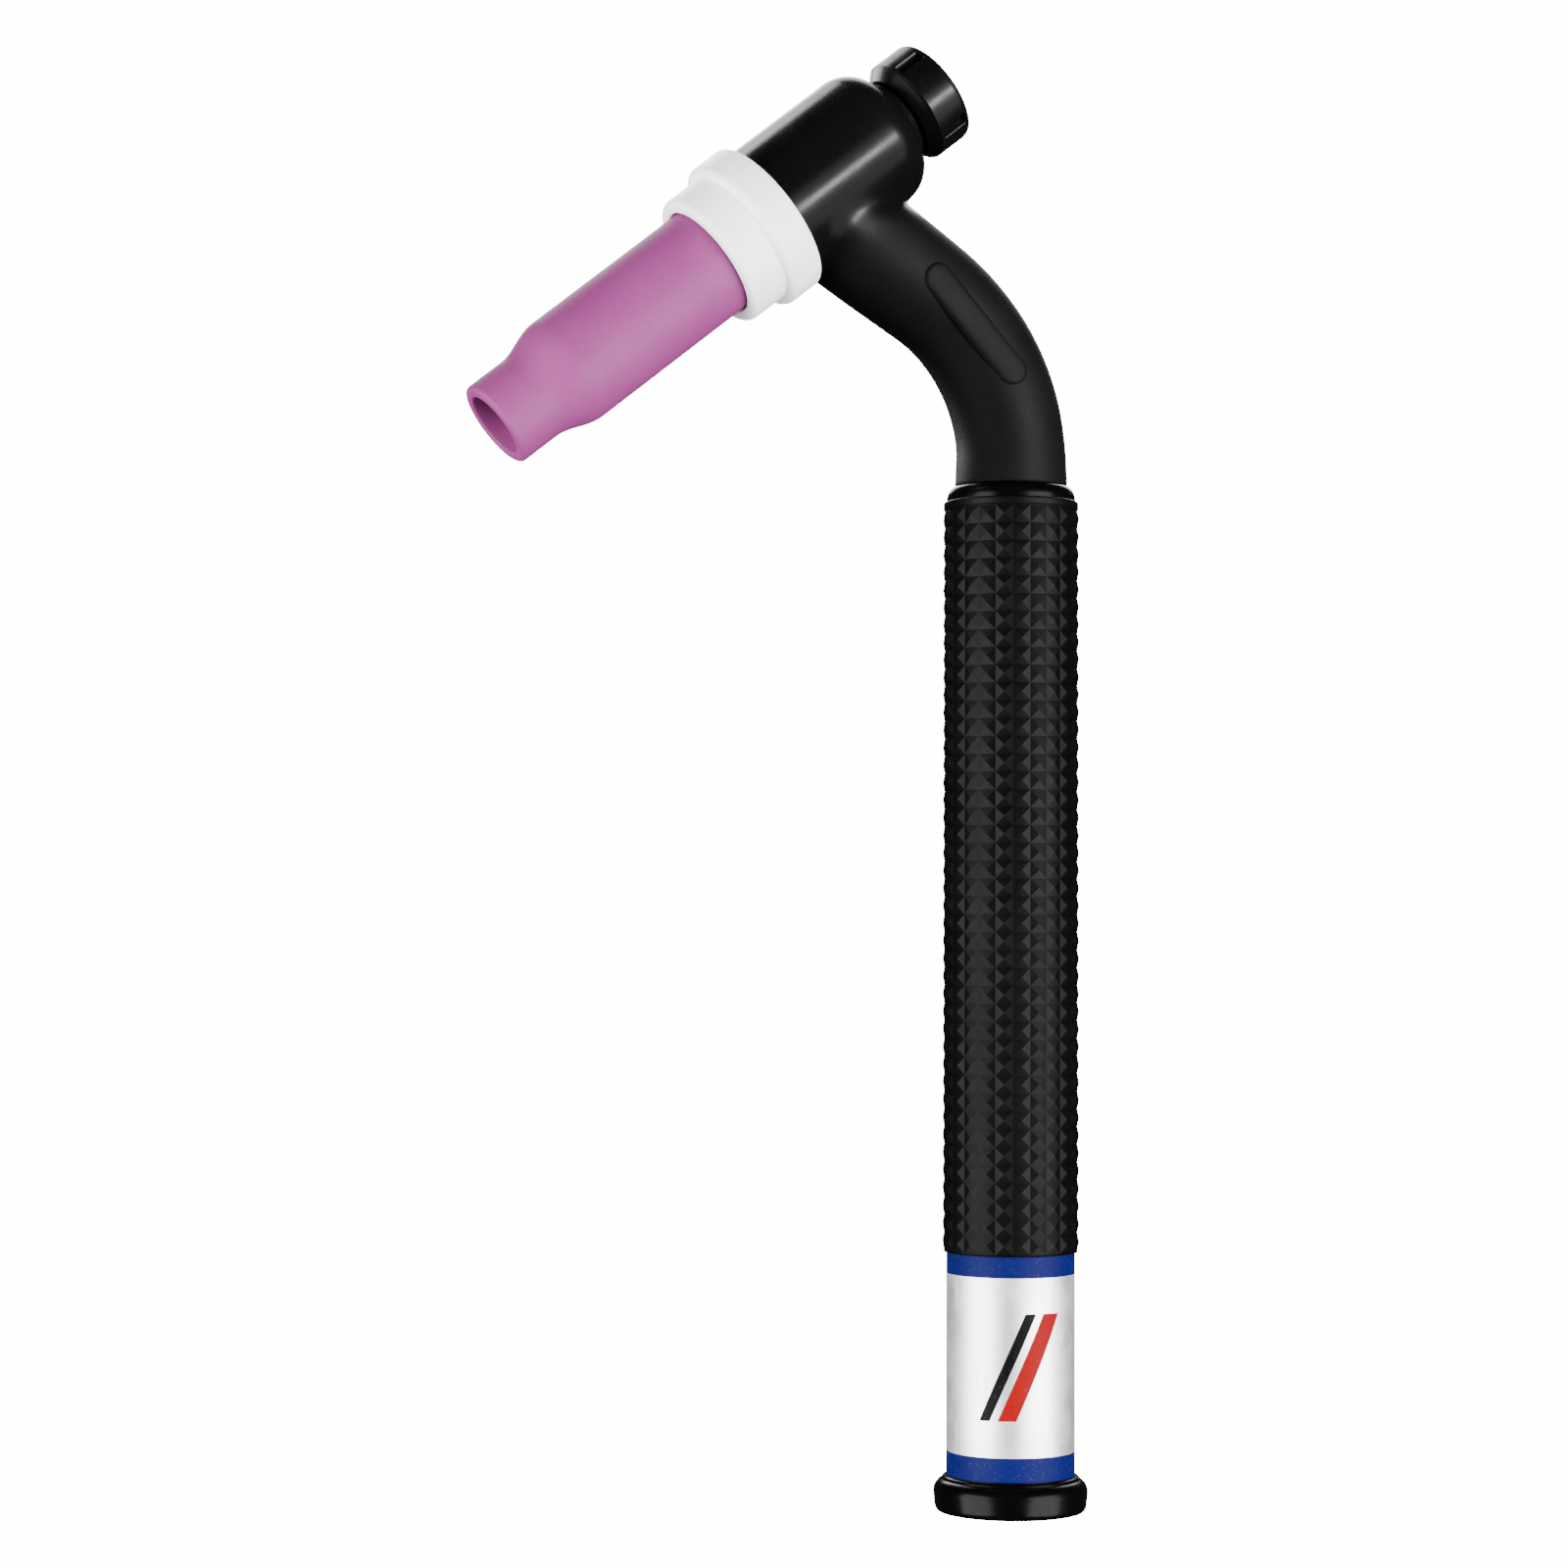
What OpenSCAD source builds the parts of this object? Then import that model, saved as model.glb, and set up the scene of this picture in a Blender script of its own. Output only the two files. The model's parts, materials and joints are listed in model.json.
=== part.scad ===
// Slim TIG welding torch with a gas lens front end and a short back cap.
// Millimetres. The origin is the centre of the handle's rear opening and +Z runs up the handle.
// The head lies in the XZ plane, with its nozzle pointing towards -X and down.
// Places along the head are distances u from the nozzle's tip towards the back cap.

/* [Head] */
// Angle between the head's axis and the handle's axis
head_tilt = 51.5; // [48:0.5:55]
// Distance of the nozzle's tip from the handle's axis
tip_reach = 91.85; // [89:0.5:94]
// Height of the nozzle's tip over the handle's rear end
tip_height = 182.64; // [181:0.5:184]
// Diameter of the head's barrel
barrel_d = 24.5; // [24:0.1:25]
// Front face of the barrel, from the tip
barrel_front = 60.9; // [60.9:0.1:61.2]
// Start of the barrel's rear shoulder, from the tip
barrel_rear = 83; // [82:0.2:84]
// Rear end of the barrel's mouth, from the tip
mouth_rear = 89.8; // [89.6:0.1:90]

/* [Nozzle] */
// Diameter of the nozzle's bore at its mouth
nozzle_bore_d = 11.1; // [9.5:0.1:11.5]
// Outside diameter at the mouth
nozzle_tip_d = 15.3; // [15:0.1:15.6]
// Outside diameter of the nozzle's body
nozzle_body_d = 19.4; // [19:0.1:19.6]
// Length of the nozzle
nozzle_length = 50.4; // [50:0.1:50.5]

/* [Insulator] */
// Diameter of the front step
ring_small_d = 24.5; // [24:0.1:25]
// Diameter of the rear step
ring_big_d = 27.9; // [27:0.1:28.2]
// Front face, from the tip
ring_front = 47; // [46.5:0.1:47.2]
// Face between the two steps, from the tip
ring_step = 54.3; // [54:0.1:55]
// Rear face, from the tip
ring_rear = 60.7; // [60.5:0.1:60.7]

/* [Gas lens] */
// Diameter of the cup that holds the screens
lens_cup_d = 13; // [12.6:0.1:13.2]
// Number of fine mesh screens
fine_count = 3; // [1:1:4]
// Number of coarse mesh screens
coarse_count = 2; // [1:1:2]
// Thickness of one screen
screen_t = 0.3; // [0.2:0.05:0.35]

/* [Collet] */
// Outside diameter of the collet
collet_d = 4.2; // [4:0.1:4.3]
// Bore of the collet, for a 2.4 mm electrode
collet_bore_d = 2.5; // [2.4:0.1:2.6]
// Length of the collet
collet_length = 45.5; // [44:0.5:45.5]
// Length of the slits in its nose
slit_length = 14; // [8:1:18]

/* [Back cap] */
// Diameter of the cap's knob
cap_d = 18.85; // [18:0.1:19.5]
// Front face of the knob, from the tip
cap_front = 90.6; // [90.5:0.1:91]
// Rear face of the knob, from the tip
cap_rear = 99.1; // [99:0.1:100.5]
// Number of grip grooves round the knob
cap_grooves = 4; // [3:1:8]

/* [Neck] */
// Diameter of the neck along its bend
neck_d = 18.8; // [18:0.1:19.2]
// Diameter of the neck at the handle
neck_base_d = 19.35; // [19.2:0.05:20]
// Diameter of the neck at the head
neck_head_d = 20.2; // [20:0.1:21]
// Radius of the bend, along the neck's centreline
bend_r = 35; // [34:0.5:36]
// Angle that the neck turns through
bend_angle = 56.5; // [55:0.5:58]
// Height at which the bend starts
bend_z = 180; // [179:0.5:182]

/* [Handle] */
// Length of the handle
handle_length = 176; // [176:0.5:178]
// Outside diameter of the handle's tube
handle_d = 22.2; // [22:0.05:22.6]
// Bore of the handle
handle_bore_d = 17.4; // [17:0.1:17.8]
// Bore of the handle's rear mouth
cable_bore_d = 18.6; // [18:0.1:19]
// Depth of the rear mouth
cable_bore_depth = 32; // [20:1:40]
// Diameter of the rear lip
lip_d = 26.5; // [26:0.1:27]
// Top of the rear lip
lip_top = 6.1; // [6:0.1:6.5]
// Diameter of the grip over its texture
grip_d = 23.6; // [23.4:0.1:24]
// Lower end of the grip
grip_bottom = 44.2; // [43:0.1:46]
// Upper end of the grip
grip_top = 173.3; // [170:0.1:173.5]
// Thickness of the wrap-round label
label_t = 0.15; // [0.1:0.05:0.2]

/* [Power connection] */
// Outside diameter of the copper tube in the neck
tube_d = 8; // [7:0.5:9]
// Bore of the copper tube
tube_bore_d = 5.6; // [4:0.2:6]
// Diameter of the threaded stud that takes the power cable
stud_d = 9.525; // [9:0.025:10]
// Length of the stud's thread
stud_length = 12; // [10:0.5:14]

/* [Hidden] */
$fn = 96;

// Clearance between pieces that part when the torch is taken down
gap = 0.2;
// Radial clearance of a thread, between its two crests
thread_gap = 0.08;
// Overshoot of a cut past the face that it opens
over = 1;
// A straight stretch of the neck is this much bigger than the bend, and laps it by this much
seam = 0.02;
seam_lap = 0.5;

// Where the neck's centreline meets the head's axis, along the neck from the end of the bend
neck_end_x = -bend_r * (1 - cos(bend_angle));
neck_end_z = bend_z + bend_r * sin(bend_angle);
neck_reach = ((neck_end_x + tip_reach) * cos(head_tilt) - (neck_end_z - tip_height) * sin(head_tilt))
    / sin(head_tilt + bend_angle);

// Threads, by the radius of the female side
nozzle_thread_r = 7.1;
head_thread_r = 4.7;
cap_thread_r = 5;

// The gas lens, from its front face to its rear end
lens_front = 31;
lens_thread_front = 42;
lens_flange_front = 50.7;
lens_flange_rear = 52.3;
lens_rear = 67;
lens_cup_floor = 38.5;
lens_cup_wall = 0.6;
lens_core_r = 2.1;

// The pieces in the lens's cup, from its mouth to its floor
screen_r = lens_cup_d / 2 - lens_cup_wall - 0.05;
screen_pitch = screen_t + 0.15;
retainer_front = lens_front + 0.8;
retainer_rear = retainer_front + 0.7;
coarse_front = retainer_rear + 0.2;
spacer_front = coarse_front + coarse_count * screen_pitch + 0.1;
fine_front = lens_cup_floor - 0.1 - fine_count * screen_pitch;
spacer_rear = fine_front - 0.1;

// The head's brass block
block_r = 7.4;
block_front = 57.4;
block_rear = 88;
gas_chamber_r = 3.4;
cap_thread_front = 78;
seal_recess_front = block_rear - 0.5;
nose_r = 8.5;

// The back cap's insert and seal, and how deep the insert and the collet's tail go into the knob
insert_front = 79.5;
insert_neck_front = 88.1;
insert_neck_r = 4.75;
insert_depth = 5;
tail_depth = 6;
cap_face_r = 7;
seal_u = 89.4;
seal_section_d = 1.8;
seal_ring_r = 5.8;

// The collet's front end, and the length and narrow end of its nose
collet_front = 44.6;
collet_nose_length = 1.4;
collet_nose_r = collet_bore_d / 2 + 0.35;

// Radius of the holes that the electrode passes through without touching
electrode_hole_r = collet_bore_d / 2 + 0.3;

// Turn of the cap's first grip groove about the head's axis
groove_start = 45;

// The handle's parts
stub_bottom = 138;
stub_rib_pitch = 9;
stub_rib_length = 4;
tube_bottom = 116;
stud_bottom = 92;
hex_width = 12;
rounding = 0.6;

// Puts its children at distance u from the nozzle's tip, with their own +Z towards the back cap
module on_head(u = 0) {
    translate([-tip_reach, 0, tip_height])
        rotate([0, head_tilt, 0])
            translate([0, 0, u])
                children();
}

// A round bar on the head's axis, from one distance to another
module head_bar(r, from, to) {
    on_head(from) cylinder(r = r, h = to - from);
}

// A tapered round bar on the head's axis
module head_cone(r_from, r_to, from, to) {
    on_head(from) cylinder(r1 = r_from, r2 = r_to, h = to - from);
}

// A solid of revolution on the head's axis, from points [radius, distance from the tip]
module head_turned(points) {
    on_head() rotate_extrude() polygon(points);
}

// Points of an arc, as [x, y], from angle a to angle b
function arc(centre, r, a, b, steps = 8) =
    [for (i = [0 : steps]) centre + r * [cos(a + (b - a) * i / steps), sin(a + (b - a) * i / steps)]];

// A bar that follows the neck's centreline: up the handle, round the bend and on to the head
module neck_bar(r, from_z, reach) {
    translate([0, 0, from_z]) cylinder(r = r, h = bend_z - from_z);
    neck_bend(r);
    neck_straight(r + seam, r + seam, -seam_lap, reach);
}

// The bar's bend
module neck_bend(r) {
    translate([-bend_r, 0, bend_z])
        rotate([90, 0, 0])
            rotate_extrude(angle = bend_angle)
                translate([bend_r, 0])
                    circle(r = r);
}

// The bar's straight stretch, measured along the centreline from the end of the bend
module neck_straight(r_from, r_to, from, to) {
    translate([neck_end_x, 0, neck_end_z])
        rotate([0, -bend_angle, 0])
            translate([0, 0, from])
                cylinder(r1 = r_from, r2 = r_to, h = to - from);
}

// The outline of the nozzle's outside, from its tip to its rear end
function nozzle_outside() = concat(
    arc([nozzle_tip_d / 2 - rounding, rounding], rounding, -90, 0, 4),
    [[nozzle_tip_d / 2, 7.8]],
    [for (i = [1 : 12]) [
        nozzle_tip_d / 2 + (nozzle_body_d - nozzle_tip_d) / 4 * (1 - cos(15 * i)),
        7.8 + 8 * i / 12]],
    [[nozzle_body_d / 2, nozzle_length - 0.4], [nozzle_body_d / 2 - 0.4, nozzle_length]]
);

// Ceramic nozzle: a narrow mouth, a flared shoulder and a wide body that screws on the gas lens
module nozzle() {
    bore_r = nozzle_bore_d / 2;
    color([0.70, 0.43, 0.65])
        head_turned(concat(
            nozzle_outside(),
            [[nozzle_thread_r, nozzle_length],
             [nozzle_thread_r, 18],
             [bore_r, 12.5],
             [bore_r, 0.4],
             [bore_r + 0.4, 0]]));
}

// White insulator ring between the nozzle and the head, with two steps and a recess in each face
module insulator() {
    r1 = ring_small_d / 2;
    r2 = ring_big_d / 2;
    soft = 0.9;
    color([0.93, 0.93, 0.92])
        difference() {
            head_turned(concat(
                [[0, ring_front]],
                arc([r1 - soft, ring_front + soft], soft, -90, 0, 4),
                [[r1, ring_step]],
                arc([r2 - soft, ring_step + soft], soft, -90, 0, 4),
                arc([r2 - 0.4, ring_rear - 0.4], 0.4, 0, 90, 3),
                [[0, ring_rear]]));
            head_bar(nozzle_body_d / 2 + gap + 0.05, ring_front - over, lens_flange_rear + gap);
            head_bar(head_thread_r + gap, ring_front, ring_rear + over);
            head_bar(nose_r + gap, block_front - gap, ring_rear + over);
        }
}

// Brass gas lens body: a cup for the screens, the nozzle's thread, a flange and the head's thread
module gas_lens_body() {
    cup_r = lens_cup_d / 2;
    thread_r = nozzle_thread_r - thread_gap;
    collet_hole_r = collet_d / 2 + 0.15;
    // the seat's cone runs along the collet's nose, a little outside it
    seat_front = collet_front - 0.65;
    seat_rear = seat_front + (collet_hole_r - electrode_hole_r) * collet_nose_length / (collet_d / 2 - collet_nose_r);
    gas_hole_count = 4;
    gas_hole_d = 1.3;
    gas_hole_slant = 16.4;
    color([0.80, 0.52, 0.28])
        difference() {
            union() {
                head_bar(cup_r, lens_front, lens_thread_front);
                head_bar(thread_r, lens_thread_front, lens_flange_front);
                head_bar(nozzle_body_d / 2 - 1, lens_flange_front, lens_flange_rear);
                head_bar(head_thread_r - thread_gap, lens_flange_rear, lens_rear);
            }
            // the cup's hollow, round the middle tube
            difference() {
                head_bar(cup_r - lens_cup_wall, lens_front - over, lens_cup_floor);
                head_bar(lens_core_r, lens_front - over, lens_cup_floor + over);
            }
            // the electrode's hole, the collet's seat and the collet's hole
            head_bar(electrode_hole_r, lens_front - over, seat_front + over);
            head_cone(electrode_hole_r, collet_hole_r, seat_front, seat_rear);
            head_bar(collet_hole_r, seat_rear, lens_rear + over);
            // slanted gas holes from the collet's hole into the cup
            for (i = [0 : gas_hole_count - 1])
                on_head(seat_rear + 0.6)
                    rotate([0, 0, 360 / gas_hole_count * i])
                        translate([1.9, 0, 0])
                            rotate([0, 180 - gas_hole_slant, 0])
                                cylinder(d = gas_hole_d, h = 9.2);
        }
}

// Mesh discs, each a flat ring round the lens's middle tube
module screen_stack(front, count) {
    for (i = [0 : count - 1])
        difference() {
            head_bar(screen_r, front + i * screen_pitch, front + i * screen_pitch + screen_t);
            head_bar(lens_core_r + 0.05, front - over, front + count * screen_pitch);
        }
}

// Fine mesh screens at the bottom of the cup
module fine_screens() {
    color([0.55, 0.55, 0.53]) screen_stack(fine_front, fine_count);
}

// Coarse mesh screens near the front of the cup
module coarse_screens() {
    color([0.62, 0.62, 0.60]) screen_stack(coarse_front, coarse_count);
}

// Ring that holds the two stacks of screens apart
module screen_spacer() {
    color([0.80, 0.62, 0.32])
        difference() {
            head_bar(screen_r, spacer_front, spacer_rear);
            head_bar(screen_r - 0.7, spacer_front - over, spacer_rear + over);
        }
}

// Snap ring in the cup's mouth, in front of the screens
module screen_retainer() {
    split = 1.2;
    color([0.72, 0.72, 0.70])
        difference() {
            head_bar(screen_r, retainer_front, retainer_rear);
            head_bar(screen_r - 0.8, retainer_front - over, retainer_rear + over);
            on_head(retainer_front - over)
                translate([0, -split / 2, 0])
                    cube([screen_r + over, split, retainer_rear - retainer_front + 2 * over]);
        }
}

// Copper collet: a slit nose that closes on the electrode when the back cap is tightened
module collet() {
    slit = 0.4;
    r = collet_d / 2;
    color([0.78, 0.45, 0.30])
        difference() {
            union() {
                head_cone(collet_nose_r, r, collet_front, collet_front + collet_nose_length);
                head_bar(r, collet_front + collet_nose_length, collet_front + collet_length);
            }
            head_bar(collet_bore_d / 2, collet_front - over, collet_front + collet_length + over);
            for (turn = [0, 90])
                on_head(collet_front - over)
                    rotate([0, 0, turn])
                        translate([-r - over, -slit / 2, 0])
                            cube([2 * (r + over), slit, slit_length + over]);
        }
}

// Black moulded knob of the back cap, with grip grooves
module back_cap() {
    r = cap_d / 2;
    groove_w = 2;
    groove_depth = 0.8;
    color([0.06, 0.06, 0.06])
        difference() {
            head_turned(concat(
                [[0, cap_front], [cap_face_r, cap_front], [r - 0.2, cap_front + 2.2], [r, cap_front + 2.6]],
                arc([r - rounding, cap_rear - rounding], rounding, 0, 90, 4),
                [[0, cap_rear]]));
            // the hole that the insert is moulded into
            head_bar(insert_neck_r, cap_front - over, cap_front + insert_depth);
            // the recess for the collet's tail
            head_bar(collet_d / 2 + 0.4, cap_front - over, cap_front + tail_depth);
            for (i = [0 : cap_grooves - 1])
                on_head(cap_front + 1.6)
                    rotate([0, 0, groove_start + 360 / cap_grooves * i])
                        translate([r - groove_depth, -groove_w / 2, 0])
                            cube([2 * groove_depth, groove_w, cap_rear - cap_front - 3]);
        }
}

// Threaded brass insert moulded into the cap, which pushes the collet forwards
module cap_insert() {
    color([0.80, 0.65, 0.35])
        difference() {
            union() {
                head_bar(cap_thread_r - thread_gap, insert_front, insert_neck_front);
                head_bar(insert_neck_r, insert_neck_front - 0.1, cap_front + insert_depth);
            }
            head_bar(collet_d / 2 + 0.2, insert_front - over, cap_front - 0.3);
            head_bar(electrode_hole_r, cap_front - over, cap_front + insert_depth + over);
        }
}

// Rubber ring that seals the back cap against the head
module cap_oring() {
    color([0.10, 0.10, 0.10])
        on_head(seal_u)
            rotate_extrude()
                translate([seal_ring_r, 0])
                    circle(d = seal_section_d);
}

// Brass block on the head's axis, threaded at both ends, with a socket for the copper tube
module head_block() {
    color([0.78, 0.62, 0.33])
        difference() {
            head_bar(block_r, block_front, block_rear);
            head_bar(head_thread_r, block_front - over, lens_rear + 2);
            head_bar(gas_chamber_r, block_front, block_rear);
            head_bar(cap_thread_r, cap_thread_front, block_rear + over);
            neck_straight(tube_d / 2 + seam, tube_d / 2 + seam, 0, neck_reach - gas_chamber_r - 1.5);
            neck_straight(tube_bore_d / 2, tube_bore_d / 2, 0, neck_reach);
        }
}

// Black insulating moulding: the barrel of the head, the bent neck and the ribbed stub
module head_moulding() {
    barrel_r = barrel_d / 2;
    shoulder_r = 6;
    mouth_r = 7.5;
    color([0.07, 0.07, 0.07])
        difference() {
            union() {
                // the barrel and its rounded rear shoulder
                head_turned(concat(
                    [[0, barrel_front], [barrel_r - 0.3, barrel_front], [barrel_r, barrel_front + 0.3]],
                    arc([barrel_r - shoulder_r, barrel_rear], shoulder_r, 0, 76, 10),
                    [[mouth_r, mouth_rear], [0, mouth_rear]]));
                // the nose that centres the insulator
                head_bar(nose_r, block_front, barrel_front + over);
                // the neck, cut off at the barrel's front face
                difference() {
                    union() {
                        translate([0, 0, handle_length])
                            cylinder(d1 = neck_base_d, d2 = neck_d, h = bend_z - handle_length);
                        neck_bend(neck_d / 2);
                        neck_straight(neck_d / 2 + seam, neck_head_d / 2, -seam_lap, neck_reach - 6);
                    }
                    head_bar(2 * barrel_d, barrel_front - 2 * barrel_d, barrel_front);
                }
                // the stub inside the handle, with its ribs
                translate([0, 0, stub_bottom])
                    cylinder(d = handle_bore_d - 1.6, h = handle_length - stub_bottom + 0.5);
                for (z = [stub_bottom + 2 : stub_rib_pitch : handle_length - stub_rib_length])
                    translate([0, 0, z]) cylinder(d = handle_bore_d, h = stub_rib_length);
            }
            // the seat of the brass block, the seal's recess and the tube's channel
            head_bar(block_r, block_front - over, block_rear);
            head_bar(seal_ring_r + seal_section_d / 2 + 0.1, seal_recess_front, mouth_rear + over);
            neck_bar(tube_d / 2, stub_bottom - over, neck_reach - 1);
        }
}

// Bent copper tube that carries the gas and the current from the handle to the head
module power_tube() {
    color([0.75, 0.42, 0.25])
        difference() {
            neck_bar(tube_d / 2, tube_bottom, neck_reach - gas_chamber_r - 1.5);
            neck_bar(tube_bore_d / 2, tube_bottom - over, neck_reach);
        }
}

// Insulating sleeve over the bare end of the copper tube
module tube_insulation() {
    color([0.75, 0.20, 0.12])
        translate([0, 0, tube_bottom + 5])
            difference() {
                cylinder(d = tube_d + 1.6, h = stub_bottom - tube_bottom - 5);
                translate([0, 0, -over]) cylinder(d = tube_d, h = stub_bottom);
            }
}

// Brass stud on the tube's end, with a hexagon and the power cable's thread
module power_stud() {
    hex_length = 8;
    socket_depth = 5;
    color([0.80, 0.65, 0.35])
        difference() {
            union() {
                translate([0, 0, stud_bottom]) cylinder(d = stud_d, h = stud_length + 1);
                translate([0, 0, stud_bottom + stud_length])
                    cylinder(d = hex_width / cos(30), h = hex_length, $fn = 6);
                translate([0, 0, stud_bottom + stud_length + hex_length - 0.5])
                    cylinder(d = tube_d + 2.4, h = tube_bottom + socket_depth - stud_bottom - stud_length - hex_length + 0.5);
            }
            translate([0, 0, tube_bottom]) cylinder(d = tube_d, h = socket_depth + over);
            translate([0, 0, stud_bottom - over]) cylinder(d = tube_bore_d, h = tube_bottom - stud_bottom + 2 * over);
        }
}

// Black handle: a tube with a thick round rear lip and a soft front collar
module handle_tube() {
    r = handle_d / 2;
    lip_r = lip_d / 2;
    collar_soft = 1.6;
    bottom_soft = 2;
    top_soft = lip_r - r;
    color([0.08, 0.08, 0.08])
        difference() {
            rotate_extrude()
                polygon(concat(
                    [[0, 0], [lip_r - bottom_soft - 1, 0]],
                    arc([lip_r - bottom_soft, bottom_soft], bottom_soft, -90, 0, 6),
                    arc([r, lip_top - 0.4 - top_soft], top_soft, 0, 90, 6),
                    [[r, lip_top], [r - label_t, lip_top], [r - label_t, grip_bottom], [r, grip_bottom]],
                    arc([r - collar_soft, handle_length - collar_soft], collar_soft, 0, 90, 6),
                    [[0, handle_length]]));
            translate([0, 0, -over]) cylinder(d = handle_bore_d, h = handle_length + 2 * over);
            translate([0, 0, -over]) cylinder(d = cable_bore_d, h = cable_bore_depth + over);
        }
}

// Textured rubber grip over the handle, with a plain rim at each end
module grip_sleeve() {
    rim = 1.4;
    rim_d = grip_d - 0.3;
    color([0.17, 0.18, 0.17])
        difference() {
            union() {
                translate([0, 0, grip_bottom]) cylinder(d = rim_d, h = grip_top - grip_bottom);
                translate([0, 0, grip_bottom + rim]) cylinder(d = grip_d, h = grip_top - grip_bottom - 2 * rim);
            }
            translate([0, 0, grip_bottom - over]) cylinder(d = handle_d, h = grip_top);
        }
}

// Label wrapped round the handle between the lip and the grip
module label() {
    color([0.86, 0.87, 0.90])
        translate([0, 0, lip_top])
            difference() {
                cylinder(d = handle_d, h = grip_bottom - lip_top);
                translate([0, 0, -over]) cylinder(d = handle_d - 2 * label_t, h = grip_bottom);
            }
}

nozzle();
insulator();
gas_lens_body();
fine_screens();
coarse_screens();
screen_spacer();
screen_retainer();
collet();
back_cap();
cap_insert();
cap_oring();
head_block();
head_moulding();
power_tube();
tube_insulation();
power_stud();
handle_tube();
grip_sleeve();
label();
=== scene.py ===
# %% [markdown]
# # A slim TIG torch, piece by piece
# A TIG torch carries current and shielding gas to a tungsten rod. From the tip back, it is a ceramic nozzle,
# a white insulating ring, a rubber-covered head with a bent neck, a screw-on back cap and a long handle.
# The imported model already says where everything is, so this lesson only makes the surfaces: each visible
# piece gets a fine mesh and a finish of its own.

# %% Load the torch and note its box
import json
import math

import bmesh
import bpy
import numpy as np
from mathutils import Matrix, Vector


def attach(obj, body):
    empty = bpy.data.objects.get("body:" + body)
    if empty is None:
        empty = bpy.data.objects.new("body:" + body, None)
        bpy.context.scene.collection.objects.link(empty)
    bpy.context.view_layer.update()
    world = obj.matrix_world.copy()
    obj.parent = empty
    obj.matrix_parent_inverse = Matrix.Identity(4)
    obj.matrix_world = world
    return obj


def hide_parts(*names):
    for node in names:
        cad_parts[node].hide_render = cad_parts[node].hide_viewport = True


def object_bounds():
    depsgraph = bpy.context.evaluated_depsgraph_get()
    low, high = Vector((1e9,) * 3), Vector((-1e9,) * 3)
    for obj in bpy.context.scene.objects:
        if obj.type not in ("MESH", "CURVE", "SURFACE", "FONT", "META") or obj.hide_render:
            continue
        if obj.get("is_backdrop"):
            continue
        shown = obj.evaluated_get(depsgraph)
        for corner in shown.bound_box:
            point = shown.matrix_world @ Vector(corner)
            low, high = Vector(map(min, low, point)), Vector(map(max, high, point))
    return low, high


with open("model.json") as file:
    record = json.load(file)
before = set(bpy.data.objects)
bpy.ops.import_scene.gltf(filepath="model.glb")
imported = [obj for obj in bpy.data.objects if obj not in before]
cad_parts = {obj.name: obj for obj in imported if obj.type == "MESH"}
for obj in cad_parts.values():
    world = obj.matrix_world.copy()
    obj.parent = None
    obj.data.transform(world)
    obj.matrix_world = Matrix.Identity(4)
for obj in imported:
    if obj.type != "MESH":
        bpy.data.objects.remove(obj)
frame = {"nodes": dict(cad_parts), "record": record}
cad_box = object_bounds()
MM = 0.001
mounts = {m["name"]: m for m in frame["record"]["mounts"]}

# %% [markdown]
# ## Two working frames
# Nearly every piece of a torch is turned on a lathe or moulded round an axis, and there are only two axes:
# the handle's, which is the model's own Z, and the head's, which leans over. A matrix for each lets an
# outline be written once, as radius and distance in millimetres, and placed afterwards. The head's matrix
# comes from the nozzle's own mount and mesh, so it can't drift away from the model.

# %% The head's frame, with its origin at the nozzle's tip
to_mouth = Vector(mounts["nozzle_mouth"]["axis"]).normalized()
on_axis = Vector(mounts["nozzle_mouth"]["pos_m"])
tip_reach = max(v.co.dot(to_mouth) for v in frame["nodes"]["nozzle"].data.vertices)
tip = on_axis + to_mouth * (tip_reach - on_axis.dot(to_mouth))
across = Vector((0, 1, 0))
to_cap = -to_mouth
HEAD = Matrix.Translation(tip) @ Matrix((across.cross(to_cap), across, to_cap)).transposed().to_4x4()
HANDLE = Matrix.Identity(4)
print("nozzle tip at", [round(c / MM, 2) for c in tip], "mm")

# %% [markdown]
# ## The camera
# The torch is seen from about 0.6 m away, a little below the middle of the grip, with a long lens. The camera
# tips up slightly instead of shifting its lens, so that other views stay centred.

# %% Camera
eye = Vector((-0.2302, -0.5856, 0.101))
turn_right, tip_up, lean = 17.895, 2.14, -0.166
lens = bpy.data.cameras.new("camera")
lens.lens = 83.5
lens.sensor_width = 36
camera = bpy.data.objects.new("camera", lens)
camera.location = eye
camera.rotation_euler = (math.radians(90 + tip_up), math.radians(lean), math.radians(-turn_right))
bpy.context.scene.collection.objects.link(camera)
bpy.context.scene.camera = camera
print("camera", round((eye - Vector((0, 0, eye.z))).length, 3), "m from the handle")

# %% [markdown]
# ## Meshes from outlines
# A lathe turns an outline into a solid. The same idea makes most of this torch, so it is worth a helper:
# corners are softened first, because real edges always catch a thin line of light, and then the outline is
# swept round the axis. A *swell* function may change the radius by angle and distance, and that one extra
# argument gives screw threads and grip grooves for free.


# %% Soften the corners of an outline
def soften(corners, steps=5):
    """Points of an outline whose corners (radius, distance, fillet) are rounded off."""
    points = []
    for i, (r, u, fillet) in enumerate(corners):
        here = np.array((r, u), float)
        if not fillet:
            points.append(here)
            continue
        before = np.array(corners[i - 1][:2], float) - here
        after = np.array(corners[(i + 1) % len(corners)][:2], float) - here
        start = here + before / np.linalg.norm(before) * min(fillet, np.linalg.norm(before) * 0.48)
        end = here + after / np.linalg.norm(after) * min(fillet, np.linalg.norm(after) * 0.48)
        for t in np.linspace(0, 1, steps):
            points.append(start * (1 - t) ** 2 + here * 2 * t * (1 - t) + end * t ** 2)
    return np.array(points)


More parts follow.
